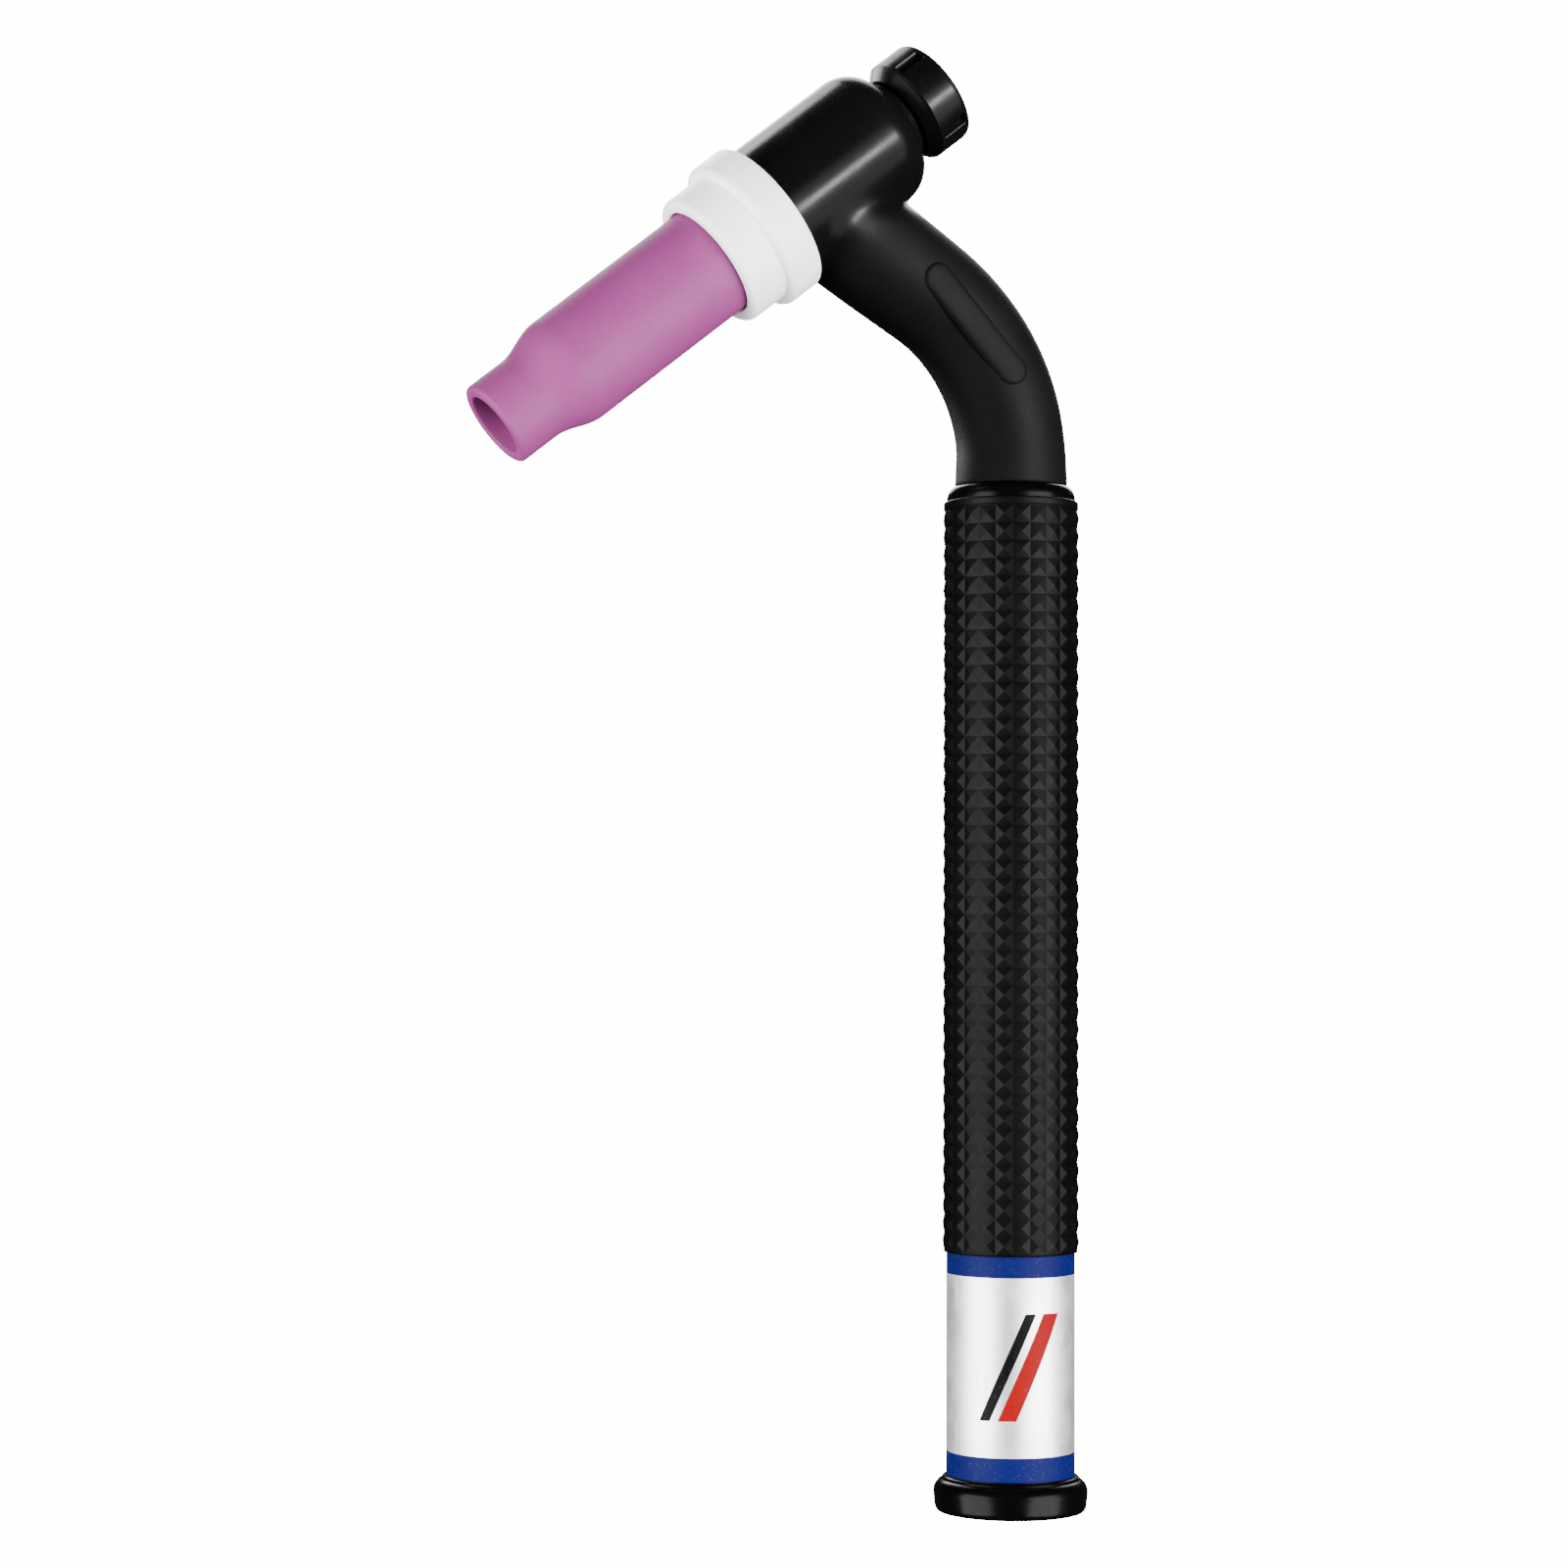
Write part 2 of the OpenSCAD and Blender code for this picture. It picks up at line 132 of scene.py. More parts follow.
# %% Make an object from points and faces
def from_bmesh(name, bm, sharp_above):
    """An object in the scene, smooth except along edges that turn by more than sharp_above degrees."""
    mesh = bpy.data.meshes.new(name)
    bm.to_mesh(mesh)
    bm.free()
    mesh.shade_smooth()
    mesh.set_sharp_from_angle(angle=math.radians(sharp_above))
    made = bpy.data.objects.new(name, mesh)
    bpy.context.scene.collection.objects.link(made)
    return made


def solid(name, points, faces, sharp_above=40):
    """An object made of faces between points in metres, with doubled points joined."""
    loose = bpy.data.meshes.new("loose")
    loose.from_pydata([tuple(p) for p in points], [], faces)
    bm = bmesh.new()
    bm.from_mesh(loose)
    bpy.data.meshes.remove(loose)
    bmesh.ops.remove_doubles(bm, verts=bm.verts, dist=2e-7)
    bmesh.ops.dissolve_degenerate(bm, edges=bm.edges, dist=1e-8)
    bmesh.ops.recalc_face_normals(bm, faces=bm.faces)
    return from_bmesh(name, bm, sharp_above)


# %% Turn an outline round an axis
def turned(name, outline, place, around=160, closed=True, swell=None):
    """A solid of revolution, in millimetres from the frame that place gives."""
    outline = np.asarray(outline, float)
    angle = np.linspace(0, 2 * math.pi, around, endpoint=False)[:, None]
    r = np.broadcast_to(outline[:, 0], (around, len(outline))).copy()
    u = np.broadcast_to(outline[:, 1], r.shape)
    if swell:
        r = r + swell(np.broadcast_to(angle, r.shape), u, r)
    local = np.stack([r * np.cos(angle), r * np.sin(angle), u], axis=-1).reshape(-1, 3) * MM
    turn = np.array(place.to_3x3())
    points = local @ turn.T + np.array(place.translation)
    count = len(outline)
    spans = count if closed else count - 1
    faces = []
    for i in range(around):
        for j in range(spans):
            k, nxt = (i + 1) % around, (j + 1) % count
            faces.append((i * count + j, k * count + j, k * count + nxt, i * count + nxt))
    return solid(name, points, faces)


# %% Say what a piece stands for
def stands_for(piece, body, *nodes, slot=None):
    """The piece rides on a body and takes the place of CAD nodes; slot is not used."""
    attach(piece, body)
    if nodes:
        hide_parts(*nodes)
    print(f"{piece.name}: {len(piece.data.polygons)} faces on {body}")


# %% [markdown]
# ## Screw threads
# A thread is a ridge that climbs one pitch in each turn. Seen as a swell, it is a triangle wave of distance
# divided by pitch, minus the part of a turn that has gone by. It only cuts inwards from the outline, so the
# piece never grows past the size that the model gives it.


# %% Thread and groove swells
def thread(start, end, pitch=1.0, depth=0.45, run_out=0.8, core=3.3):
    """A swell that cuts a thread between two distances, outside a core, and lets it fade out at both ends."""
    def groove(angle, u, r):
        phase = (u / pitch - angle / (2 * math.pi)) % 1
        ridge = 1 - np.abs(2 * phase - 1)
        fade = np.clip((u - start) / run_out, 0, 1) * np.clip((end - u) / run_out, 0, 1)
        inside = (u > start) & (u < end) & (r > core)
        return np.where(inside, -depth * (1 - ridge) * fade, 0)
    return groove


# %% [markdown]
# ## The nozzle
# The pink nozzle is fired alumina, pressed and ground, so its outline is all soft curves: a straight mouth, a
# flare and a wide body. The flare is half a cosine wave, which joins both cylinders without a kink. Inside,
# the bore opens into a chamber that clears the gas lens and ends in a thread.

# %% Nozzle
mouth_r, bore_r, body_r, nozzle_end = 7.65, 5.55, 9.7, 50.4
flare = [(mouth_r + (body_r - mouth_r) * (1 - math.cos(math.pi * t)) / 2, 7.4 + 8.6 * t, 0)
         for t in np.linspace(0, 1, 24)]
nozzle_outline = soften([(bore_r, 0, 0.5), (mouth_r, 0, 0.9), *flare, (body_r, 30, 0),
                         (body_r, nozzle_end, 0.5), (7.15, nozzle_end, 0.4), (7.15, 18.5, 1.5),
                         (bore_r, 12, 2)])


def nozzle_thread(angle, u, r):
    """A female thread opens outwards, into the wall of the nozzle."""
    fade = np.clip((u - 42) / 0.8, 0, 1) * np.clip((nozzle_end - 0.6 - u) / 0.8, 0, 1)
    ridge = 1 - np.abs(2 * ((u - angle / (2 * math.pi)) % 1) - 1)
    return np.where(r < 7.5, 0.45 * ridge * fade, 0)


def finer(outline, u_from, u_to, step):
    """The outline with more points where its sides run between two distances, for a swell to act on."""
    made = []
    for a, b in zip(outline, np.roll(outline, -1, axis=0)):
        made.append(a)
        low, high = sorted((a[1], b[1]))
        if high - low > step and high > u_from and low < u_to:
            for t in np.linspace(0, 1, int((high - low) / step) + 2)[1:-1]:
                point = a + (b - a) * t
                if u_from <= point[1] <= u_to:
                    made.append(point)
    return np.array(made)


nozzle = turned("alumina_nozzle", finer(nozzle_outline, 41, nozzle_end, 0.16), HEAD, swell=nozzle_thread)
stands_for(nozzle, "gas_nozzle", "nozzle")

# %% [markdown]
# ## The insulating ring
# The white ring is turned or moulded from a heat-proof plastic. It has two steps, and its front face is
# dished so that the nozzle's end goes inside it. What sells it is the generous rounding of both outer edges.

# %% Insulating ring
ring_outline = soften([(9.95, 47, 0.5), (12.25, 47, 1.3), (12.25, 54.3, 0.25), (13.94, 54.3, 1.2),
                       (13.94, 60.7, 0.7), (8.7, 60.7, 0.3), (8.7, 57.2, 0.3), (4.9, 57.2, 0.3),
                       (4.9, 52.5, 0.3), (9.95, 52.5, 0.5)], steps=7)
ring = turned("white_insulator_ring", ring_outline, HEAD)
stands_for(ring, "insulator_ring", "insulator")

# %% [markdown]
# ## The gas lens
# Behind the nozzle hides the part that makes this torch's gas flow smooth: a copper-alloy body whose cup
# holds a stack of woven screens. It only shows when the nozzle comes off, but then it is all there is to look
# at, so it gets its threads and real woven wire.

# %% Gas lens body
lens_outline = soften([(1.55, 31, 0.1), (2.1, 31, 0.2), (2.1, 38.5, 0.2), (5.9, 38.5, 0.2), (5.9, 31, 0.15),
                       (6.5, 31, 0.3), (6.5, 42, 0.1), (7.02, 42.4, 0.3), (7.02, 50.7, 0), (8.7, 50.7, 0.3),
                       (8.7, 52.3, 0.3), (4.62, 52.3, 0.2), (4.62, 67, 0.6), (2.25, 67, 0.3), (2.25, 46, 0.2),
                       (1.55, 43.9, 0.2)])
nozzle_side, head_side = thread(42.4, 50.4), thread(53.4, 67)
lens_body = turned("threaded_lens_body", finer(lens_outline, 42, 67, 0.12), HEAD, around=96,
                   swell=lambda a, u, r: np.where(r > 4.5, nozzle_side(a, u, r) + head_side(a, u, r), 0))
stands_for(lens_body, "gas_lens", "gas_lens_body")


# %% Wire, as a tube along points
def strip_faces(rows, around):
    """Four-sided faces between rows of points that go round something."""
    return [(i * around + j, i * around + (j + 1) % around,
             (i + 1) * around + (j + 1) % around, (i + 1) * around + j)
            for i in range(rows - 1) for j in range(around)]


def tube_faces(rows, around):
    """Faces between rows of points, with a lid on the first row and on the last."""
    lids = [tuple(range(around))[::-1], tuple((rows - 1) * around + j for j in range(around))]
    return strip_faces(rows, around) + lids


def wire(points, radius, sides=6):
    """Points and faces of a round wire along a row of points, closed at both ends."""
    points = np.asarray(points, float)
    along = np.gradient(points, axis=0)
    along /= np.linalg.norm(along, axis=1)[:, None]
    side = np.cross(along, (0, 0, 1.0))
    side /= np.linalg.norm(side, axis=1)[:, None]
    upward = np.cross(side, along)
    a = np.linspace(0, 2 * math.pi, sides, endpoint=False)
    round_it = np.cos(a)[:, None] * side[:, None] + np.sin(a)[:, None] * upward[:, None]
    return (points[:, None] + radius * round_it).reshape(-1, 3), tube_faces(len(points), sides)


# %% [markdown]
# A screen is plain-woven: each wire goes over one crossing and under the next. A sine wave along every wire
# does that, with neighbours half a wave apart. The wires stop at the rim and at the middle tube.


# %% Woven screens
def woven(name, front, count, pitch, radius, outer=5.8, inner=2.2, layer=0.45):
    """Round discs of plain-woven wire, one behind the other, on the head's axis."""
    points, faces = [], []
    for disc in range(count):
        level = front + disc * layer + 0.15
        for turn in (0, 1):
            for k, offset in enumerate(np.arange(-outer + pitch / 2, outer, pitch)):
                reach = math.sqrt(max(outer ** 2 - offset ** 2, 0))
                hole = math.sqrt(max(inner ** 2 - offset ** 2, 0))
                pieces = [(-reach, -hole), (hole, reach)] if hole > 0 else [(-reach, reach)]
                for low, high in pieces:
                    if high - low < 2 * radius:
                        continue
                    t = np.linspace(low, high, max(3, int((high - low) / pitch * 4)))
                    wave = 0.6 * radius * np.cos(math.pi * (t / pitch + k + turn))
                    row = np.stack([t, np.full_like(t, offset), level + wave], axis=1)
                    if turn:
                        row = row[:, (1, 0, 2)]
                    made, sides = wire(row, radius)
                    faces += [tuple(len(points) + v for v in f) for f in sides]
                    points += list(made)
    points = np.array(points) * MM @ np.array(HEAD.to_3x3()).T + np.array(HEAD.translation)
    return solid(name, points, faces)


coarse = woven("woven_coarse_screens", 32.7, 2, 0.62, 0.13)
stands_for(coarse, "gas_lens", "coarse_screens")
fine = woven("woven_fine_screens", 36.99, 3, 0.45, 0.09)
stands_for(fine, "gas_lens", "fine_screens")

# %% [markdown]
# ## The back cap
# The cap is a small phenolic knob. Its front is a cone, a fine step marks where the grip begins, and four
# short grooves give the fingers a hold. The grooves are a swell too: they sink where the angle is close to
# one of four directions, and their walls are a steep but smooth step. Cutting them with boolean boxes would
# leave hard edges. A brass insert holds the cap in the head, by the same kind of thread as the gas lens has.

# %% Back cap
cap_front, cap_rear, cap_r = 90.6, 99.1, 9.425
groove_width, groove_depth, groove_turn = 2.0, 0.75, math.radians(45)


def smooth_step(x):
    """0 below 0, 1 above 1 and a smooth curve between."""
    x = np.clip(x, 0, 1)
    return x * x * (3 - 2 * x)


def cap_grooves(angle, u, r):
    """Four short grooves across the knob's side, open at neither end."""
    off = (angle - groove_turn + math.pi / 4) % (math.pi / 2) - math.pi / 4
    beside = smooth_step((groove_width / 2 + 0.12 - np.abs(off * cap_r)) / 0.24)
    along = smooth_step((u - cap_front - 2.3) / 0.3) * smooth_step((cap_rear - 1.1 - u) / 0.3)
    return np.where(r > 8.5, -groove_depth * beside * along, 0)


cap_outline = soften([(4.75, cap_front, 0.2), (7.5, cap_front, 0.25), (9.1, cap_front + 1.7, 0.25),
                      (9.28, cap_front + 1.8, 0.05), (cap_r, cap_front + 2.0, 0.12), (cap_r, cap_rear, 1.1),
                      (7.2, cap_rear, 0.2), (6.9, cap_rear - 0.25, 0.2), (0, cap_rear - 0.25, 0),
                      (0, 96.6, 0), (2.5, 96.6, 0.2), (2.5, 95.6, 0), (4.75, 95.6, 0.2)])
cap = turned("back_cap_knob", finer(cap_outline, cap_front + 1.9, cap_rear - 0.6, 0.1), HEAD, around=420,
             swell=cap_grooves)
stands_for(cap, "cap", "back_cap")

# %% Threaded insert of the cap
insert_outline = soften([(2.3, 79.5, 0.2), (4.92, 79.5, 0.6), (4.92, 88.1, 0.2), (4.75, 88.3, 0.1),
                         (4.75, 95.6, 0.2), (1.55, 95.6, 0.2), (1.55, 90.3, 0.1), (2.3, 90.3, 0.2)])
insert = turned("threaded_cap_insert", finer(insert_outline, 79.5, 88.1, 0.12), HEAD, around=96,
                swell=thread(79.6, 88))
stands_for(insert, "cap", "cap_insert")

# %% [markdown]
# ## The rubber head and neck
# The head and the neck are one moulding, and where they meet there is a soft blend that no single primitive
# has. A boolean would leave a hard crease and a bevel there tends to fail. So the surface is written as a
# *distance field*: one number for every point in space, below zero inside. Fields of simple shapes melt
# together with a smooth minimum. A coarse voxel mesh gives the topology, and every point of it then walks
# along the field's slope until it sits exactly on the surface.

# %% The neck's centreline and thickness
bend_r, bend_angle, bend_z = 35.0, math.radians(56.5), 180.0
neck_run = bend_r * bend_angle
neck_end = neck_run + 22.0
barrel_r, barrel_front = 12.25, 60.9
print(f"the neck bends over {neck_run:.1f} mm")


def neck_at(s):
    """A point on the neck's centreline, and its direction, at s millimetres past the start of the bend."""
    turn = np.clip(s / bend_r, 0, bend_angle)
    ahead = np.stack([-np.sin(turn), np.zeros_like(turn), np.cos(turn)], axis=-1)
    point = np.stack([bend_r * (np.cos(turn) - 1), 0 * turn, bend_z + bend_r * np.sin(turn)], axis=-1)
    return point + ahead * (s - bend_r * turn)[..., None], ahead


def neck_radius(s):
    """Wider at the handle, slim through the bend and wider again towards the head."""
    at_handle = 0.28 * (1 - smooth_step((s + 4) / 9))
    at_head = 0.6 * smooth_step((s - 24) / 26)
    return 9.4 + at_handle + at_head


# %% Distance fields
def neck_field(p):
    """Distance to the neck's surface, from points in millimetres."""
    x, y, z = p[..., 0] + bend_r, p[..., 1], p[..., 2] - bend_z
    turn = np.clip(np.arctan2(z, x), 0, bend_angle)
    turn = np.where((x < 0) & (z < 0), 0, turn)
    centre = np.stack([bend_r * np.cos(turn), np.zeros_like(turn), bend_r * np.sin(turn)], axis=-1)
    ahead = np.stack([-np.sin(turn), np.zeros_like(turn), np.cos(turn)], axis=-1)
    away = np.stack([x, y, z], axis=-1) - centre
    past = (away * ahead).sum(-1)
    s = bend_r * turn + past
    off = away - ahead * past[..., None]
    return np.maximum(np.linalg.norm(off, axis=-1) - neck_radius(s), s - neck_end)


to_head = np.array(HEAD.inverted())


def barrel_field(p):
    """Distance to the barrel: a bar with a well rounded rear end."""
    local = p * MM @ to_head[:3, :3].T + to_head[:3, 3]
    rho, u = np.hypot(local[..., 0], local[..., 1]) / MM, local[..., 2] / MM
    rounding, low, high = 6.0, 40.0, 89.0
    past_side = rho - (barrel_r - rounding)
    past_end = np.abs(u - (low + high) / 2) - ((high - low) / 2 - rounding)
    q = np.stack([past_side, past_end], -1)
    return np.linalg.norm(np.maximum(q, 0), axis=-1) + np.minimum(q.max(-1), 0) - rounding


def melted(a, b, width):
    """Smooth minimum of two distances."""
    h = np.maximum(width - np.abs(a - b), 0) / width
    return np.minimum(a, b) - h ** 3 * width / 6


def head_field(p):
    return melted(neck_field(p), barrel_field(p), 2.2)


# %% A rough body to start from
def sweep_tube(name, stations, radii, around=48):
    """A closed tube along the neck's centreline."""
    centre, ahead = neck_at(np.asarray(stations, float))
    side = np.array([0.0, -1, 0])
    outward = np.cross(side, ahead)
    a = np.linspace(0, 2 * math.pi, around, endpoint=False)
    rows = centre[:, None] + np.asarray(radii)[:, None, None] * (
        np.cos(a)[None, :, None] * outward[:, None] + np.sin(a)[None, :, None] * side)
    return solid(name, rows.reshape(-1, 3) * MM, tube_faces(len(stations), around))


stations = np.linspace(-8, neck_end - 0.1, 60)
rough_neck = sweep_tube("rough_neck", stations, neck_radius(stations) - 0.1)
barrel_outline = [(0, 56), (12.1, 56), (12.1, 84), (9.5, 88), (5, 88.9), (0, 88.9)]
rough_barrel = turned("rough_barrel", barrel_outline, HEAD, around=64)
joined = rough_barrel.modifiers.new("with_neck", "BOOLEAN")
joined.operation, joined.object, joined.solver = "UNION", rough_neck, "EXACT"
voxels = rough_barrel.modifiers.new("voxels", "REMESH")
voxels.mode, voxels.voxel_size = "VOXEL", 0.55 * MM
bpy.context.view_layer.update()
remeshed = bpy.data.meshes.new_from_object(rough_barrel.evaluated_get(bpy.context.evaluated_depsgraph_get()))
for rough in (rough_barrel, rough_neck):
    bpy.data.objects.remove(rough)
print("voxel mesh:", len(remeshed.polygons), "faces")


# %% [markdown]
# The walk to the surface is Newton's method: the field's value says how far, its gradient says which way.
# Every round of smoothing before it spreads the points evenly, because voxels leave them in steps.


# %% Walk every point to the surface
def gradient(field, p, step=0.02):
    """The slope of a field at points, from the field a small step to either side."""
    rises = [field(p + step * axis) - field(p - step * axis) for axis in np.eye(3)]
    return np.stack(rises, axis=-1) / (2 * step)


def settle(mesh, field, rounds=6):
    """Moves a mesh's points on to a field's surface, spreading them evenly on the way."""
    count = len(mesh.vertices)
    p = np.empty(count * 3)
    mesh.vertices.foreach_get("co", p)
    p = p.reshape(-1, 3) / MM
    ends = np.empty(len(mesh.edges) * 2, int)
    mesh.edges.foreach_get("vertices", ends)
    a, b = ends.reshape(-1, 2).T
    for _ in range(rounds):
        total, number = np.zeros_like(p), np.zeros(count)
        np.add.at(total, a, p[b])
        np.add.at(total, b, p[a])
        np.add.at(number, a, 1)
        np.add.at(number, b, 1)
        p = p * 0.4 + total / number[:, None] * 0.6
        for _ in range(2):
            slope = gradient(field, p)
            p = p - slope * (field(p) / np.maximum((slope ** 2).sum(-1), 0.05))[:, None]
    mesh.vertices.foreach_set("co", (p * MM).ravel())
    return np.abs(field(p)).max()


print("largest distance left:", round(float(settle(remeshed, head_field)), 4), "mm")

# %% [markdown]
# The rough body is longer than it should be at its three ends. It is cut off square there, and each cut edge
# is then drawn on, ring by ring, into the turned details: the nose that centres the ring, the mouth round the
# cap, the ribbed stub inside the handle. A ring is just the last edge loop at a new radius and distance.


# %% Tools to cut an end off and to draw an edge on
def cut(bm, point, outward, reach=20):
    """Cuts the mesh near a point and returns the edges of the cut."""
    faces = [f for f in bm.faces if all((v.co - point).length < reach * MM for v in f.verts)]
    geometry = list({v for f in faces for v in f.verts}) + list({e for f in faces for e in f.edges}) + faces
    made = bmesh.ops.bisect_plane(bm, geom=geometry, plane_co=point, plane_no=outward, clear_outer=True,
                                  dist=1e-7)
    return [e for e in made["geom_cut"] if isinstance(e, bmesh.types.BMEdge)]


def draw_on(bm, edges, place, rings):
    """Extrudes an edge loop through rings of (radius, distance) in a frame; None draws it in a little."""
    back = place.inverted()
    for radius, distance in rings:
        made = bmesh.ops.extrude_edge_only(bm, edges=edges)["geom"]
        edges = [g for g in made if isinstance(g, bmesh.types.BMEdge)]
        for v in {v for e in edges for v in e.verts}:
            local = back @ v.co
            flat = Vector((local.x, local.y))
            flat = flat.normalized() * (radius * MM) if radius is not None else flat * 0.985
            v.co = place @ Vector((flat.x, flat.y, distance * MM))
    return edges


# %% The three ends of the moulding
forward, backward = HEAD.to_3x3() @ Vector((0, 0, -1)), HEAD.to_3x3() @ Vector((0, 0, 1))
body = bmesh.new()
body.from_mesh(remeshed)
front_edges = cut(body, HEAD @ Vector((0, 0, (barrel_front + 0.25) * MM)), forward)
rear_edges = cut(body, HEAD @ Vector((0, 0, 88.2 * MM)), backward)
base_edges = cut(body, Vector((0, 0, 176.3 * MM)), Vector((0, 0, -1)))
nose = [(None, barrel_front), (8.5, barrel_front), (8.5, 57.7), (8.2, 57.4), (7.4, 57.4), (7.4, 60)]
front_bore = draw_on(body, front_edges, HEAD, nose)
cap_mouth = [(8.1, 88.75), (7.6, 89.1), (7.5, 89.6), (7.3, 89.8), (7.0, 89.8), (6.8, 89.6), (6.8, 87.6),
             (7.4, 87.6), (7.4, 86)]
rear_bore = draw_on(body, rear_edges, HEAD, cap_mouth)
bmesh.ops.bridge_loops(body, edges=front_bore + rear_bore)
ribs = [step for z in (164, 155, 146, 140)
        for step in ((7.9, z + 4), (8.7, z + 3.6), (8.7, z + 0.4), (7.9, z))]
stub = [(None, 176.05), (8.7, 176.05), (8.7, 170), *ribs, (7.9, 138.4), (7.5, 138), (4.1, 138), (4.1, 150),
        (0.01, 150)]
channel = draw_on(body, base_edges, HANDLE, stub)
bmesh.ops.remove_doubles(body, verts=list({v for e in channel for v in e.verts}), dist=0.05 * MM)
bmesh.ops.recalc_face_normals(body, faces=body.faces)
print("open edges left:", sum(1 for e in body.edges if not e.is_manifold))
moulding = from_bmesh("head_and_neck_moulding", body, sharp_above=35)
stands_for(moulding, "torch", "head_moulding")

# %% [markdown]
# A raised pad runs along the side of the neck. It lies on the neck's own surface, so it is built in the
# neck's coordinates: distance along the centreline and arc length round it. Its plan is a bar with round
# ends, drawn as rings that shrink to the middle line while they rise over a small edge radius.

# %% Raised pad on the neck
pad_start, pad_end, pad_half, pad_height = 13.0, 38.5, 2.75, 0.35


def on_neck(s, off, lift):
    """A point above the neck's surface: off is the arc length from the side that faces -Y."""
    centre, ahead = neck_at(np.asarray(s, float))
    side = np.array([0.0, -1, 0])
    outward = np.cross(side, ahead)
    r = neck_radius(np.asarray(s, float))
    a = math.pi / 2 + np.asarray(off) / r
    return centre + (r + lift)[:, None] * (np.cos(a)[:, None] * outward + np.sin(a)[:, None] * side)


def pad_ring(inset, lift, around=96):
    r = pad_half - inset
    a = np.linspace(0, 2 * math.pi, around, endpoint=False)
    s = np.where(np.cos(a) > 0, pad_end - pad_half, pad_start + pad_half) + r * np.cos(a)
    return on_neck(s, r * np.sin(a), np.full_like(a, lift))


pad_profile = [(2.7, -0.4), (1.4, -0.4), (-0.1, -0.4), (-0.1, -0.02), (0.0, 0.06), (0.15, 0.18), (0.35, 0.28),
               (0.6, 0.33), (0.9, pad_height), (1.3, pad_height), (2.0, pad_height), (2.7, pad_height)]
pad_rows = np.array([pad_ring(inset, lift) for inset, lift in pad_profile])
size = pad_rows.shape[1]
pad_faces = strip_faces(len(pad_rows), size)
for base in (0, (len(pad_rows) - 1) * size):
    pad_faces += [(base + j, base + j + 1, base + size - 2 - j, base + size - 1 - j)
                  for j in range(size // 2 - 1)]
pad = solid("neck_pad", pad_rows.reshape(-1, 3) * MM, pad_faces)
stands_for(pad, "torch", slot="head_rubber")

# %% [markdown]
# ## The handle
# The handle is an extruded or moulded tube with a thick, glossy rear lip. The label sits in a shallow seat,
# so that its edges can't peel, and the top ends in a soft collar.

# %% Handle tube
handle_top, handle_r, seat_low, seat_high, seat_r, entry_r, inner_r = 176.0, 11.1, 6.1, 44.2, 10.95, 9.3, 8.7
collar = [(9.5 + 1.6 * math.cos(t), handle_top - 2.4 + 2.4 * math.sin(t), 0)
          for t in np.linspace(0, math.pi / 2, 14)]
lip = [(handle_r + 2.15 * math.cos(t), 3.3 + 2.3 * math.sin(t), 0) for t in np.linspace(-0.15, 1.2, 14)]
handle_outline = soften([(entry_r, 0, 0.6), (12.6, 0, 0.5), (13.0, 0.75, 0.5), *lip, (11.8, 5.62, 0.06),
                         (11.72, 5.85, 0.12), (11.4, 6.05, 0.1), (handle_r, 6.05, 0.05),
                         (handle_r, seat_low, 0.02), (seat_r, seat_low, 0.03), (seat_r, seat_high, 0.03),
                         (handle_r, seat_high, 0.05), *collar, (inner_r, handle_top, 0.3), (inner_r, 32, 0.1),
                         (entry_r, 32, 0.1)], steps=8)
handle = turned("handle_with_lip", handle_outline, HANDLE, around=192)
stands_for(handle, "torch", "handle_tube")

# %% [markdown]
# ## The grip
# The rubber sleeve is covered with small four-sided pyramids, 24 round and 42 along, like a coarse file.
# Painting them with a bump would look flat at the outline, so they are modelled: every cell is eight facets,
# two to a side, that meet at a peak. A narrow bevel on their edges rounds them as rubber from a mould is.

# %% Pyramids on the grip
columns, rows, peak_r, valley_r, rim_r = 24, 42, 11.8, 11.46, 11.65
first_valley, row_low, row_high = math.radians(10.4), 44.44, 171.82
column_step, row_step = 2 * math.pi / columns, (row_high - row_low) / rows
grip_bm = bmesh.new()


def grip_point(r, i, j):
    """A new point of the grip, i half columns round and j half rows up."""
    angle, z = first_valley + i * column_step / 2, row_low + j * row_step / 2
    return grip_bm.verts.new((r * math.cos(angle) * MM, r * math.sin(angle) * MM, z * MM))


valley = {}
for j in range(2 * rows + 1):
    for i in range(2 * columns):
        if not (i % 2 and j % 2):
            valley[i, j] = grip_point(valley_r, i, j)
for j in range(1, 2 * rows, 2):
    for i in range(1, 2 * columns, 2):
        peak = grip_point(peak_r, i, j)
        around_it = [(-1, -1), (0, -1), (1, -1), (1, 0), (1, 1), (0, 1), (-1, 1), (-1, 0)]
        ring_of = [valley[(i + a) % (2 * columns), j + b] for a, b in around_it]
        for a, b in zip(ring_of, ring_of[1:] + ring_of[:1]):
            grip_bm.faces.new((a, b, peak))
facet_edges = [e for e in grip_bm.edges
               if len(e.link_faces) == 2 and e.calc_face_angle(0) > math.radians(11)]
bmesh.ops.bevel(grip_bm, geom=facet_edges, offset=0.07 * MM, offset_type="OFFSET", segments=1, profile=0.5,
                affect="EDGES", clamp_overlap=True)
grip_bm.normal_update()
print("grip facets:", len(grip_bm.faces), "open edges:", sum(1 for e in grip_bm.edges if e.is_boundary))

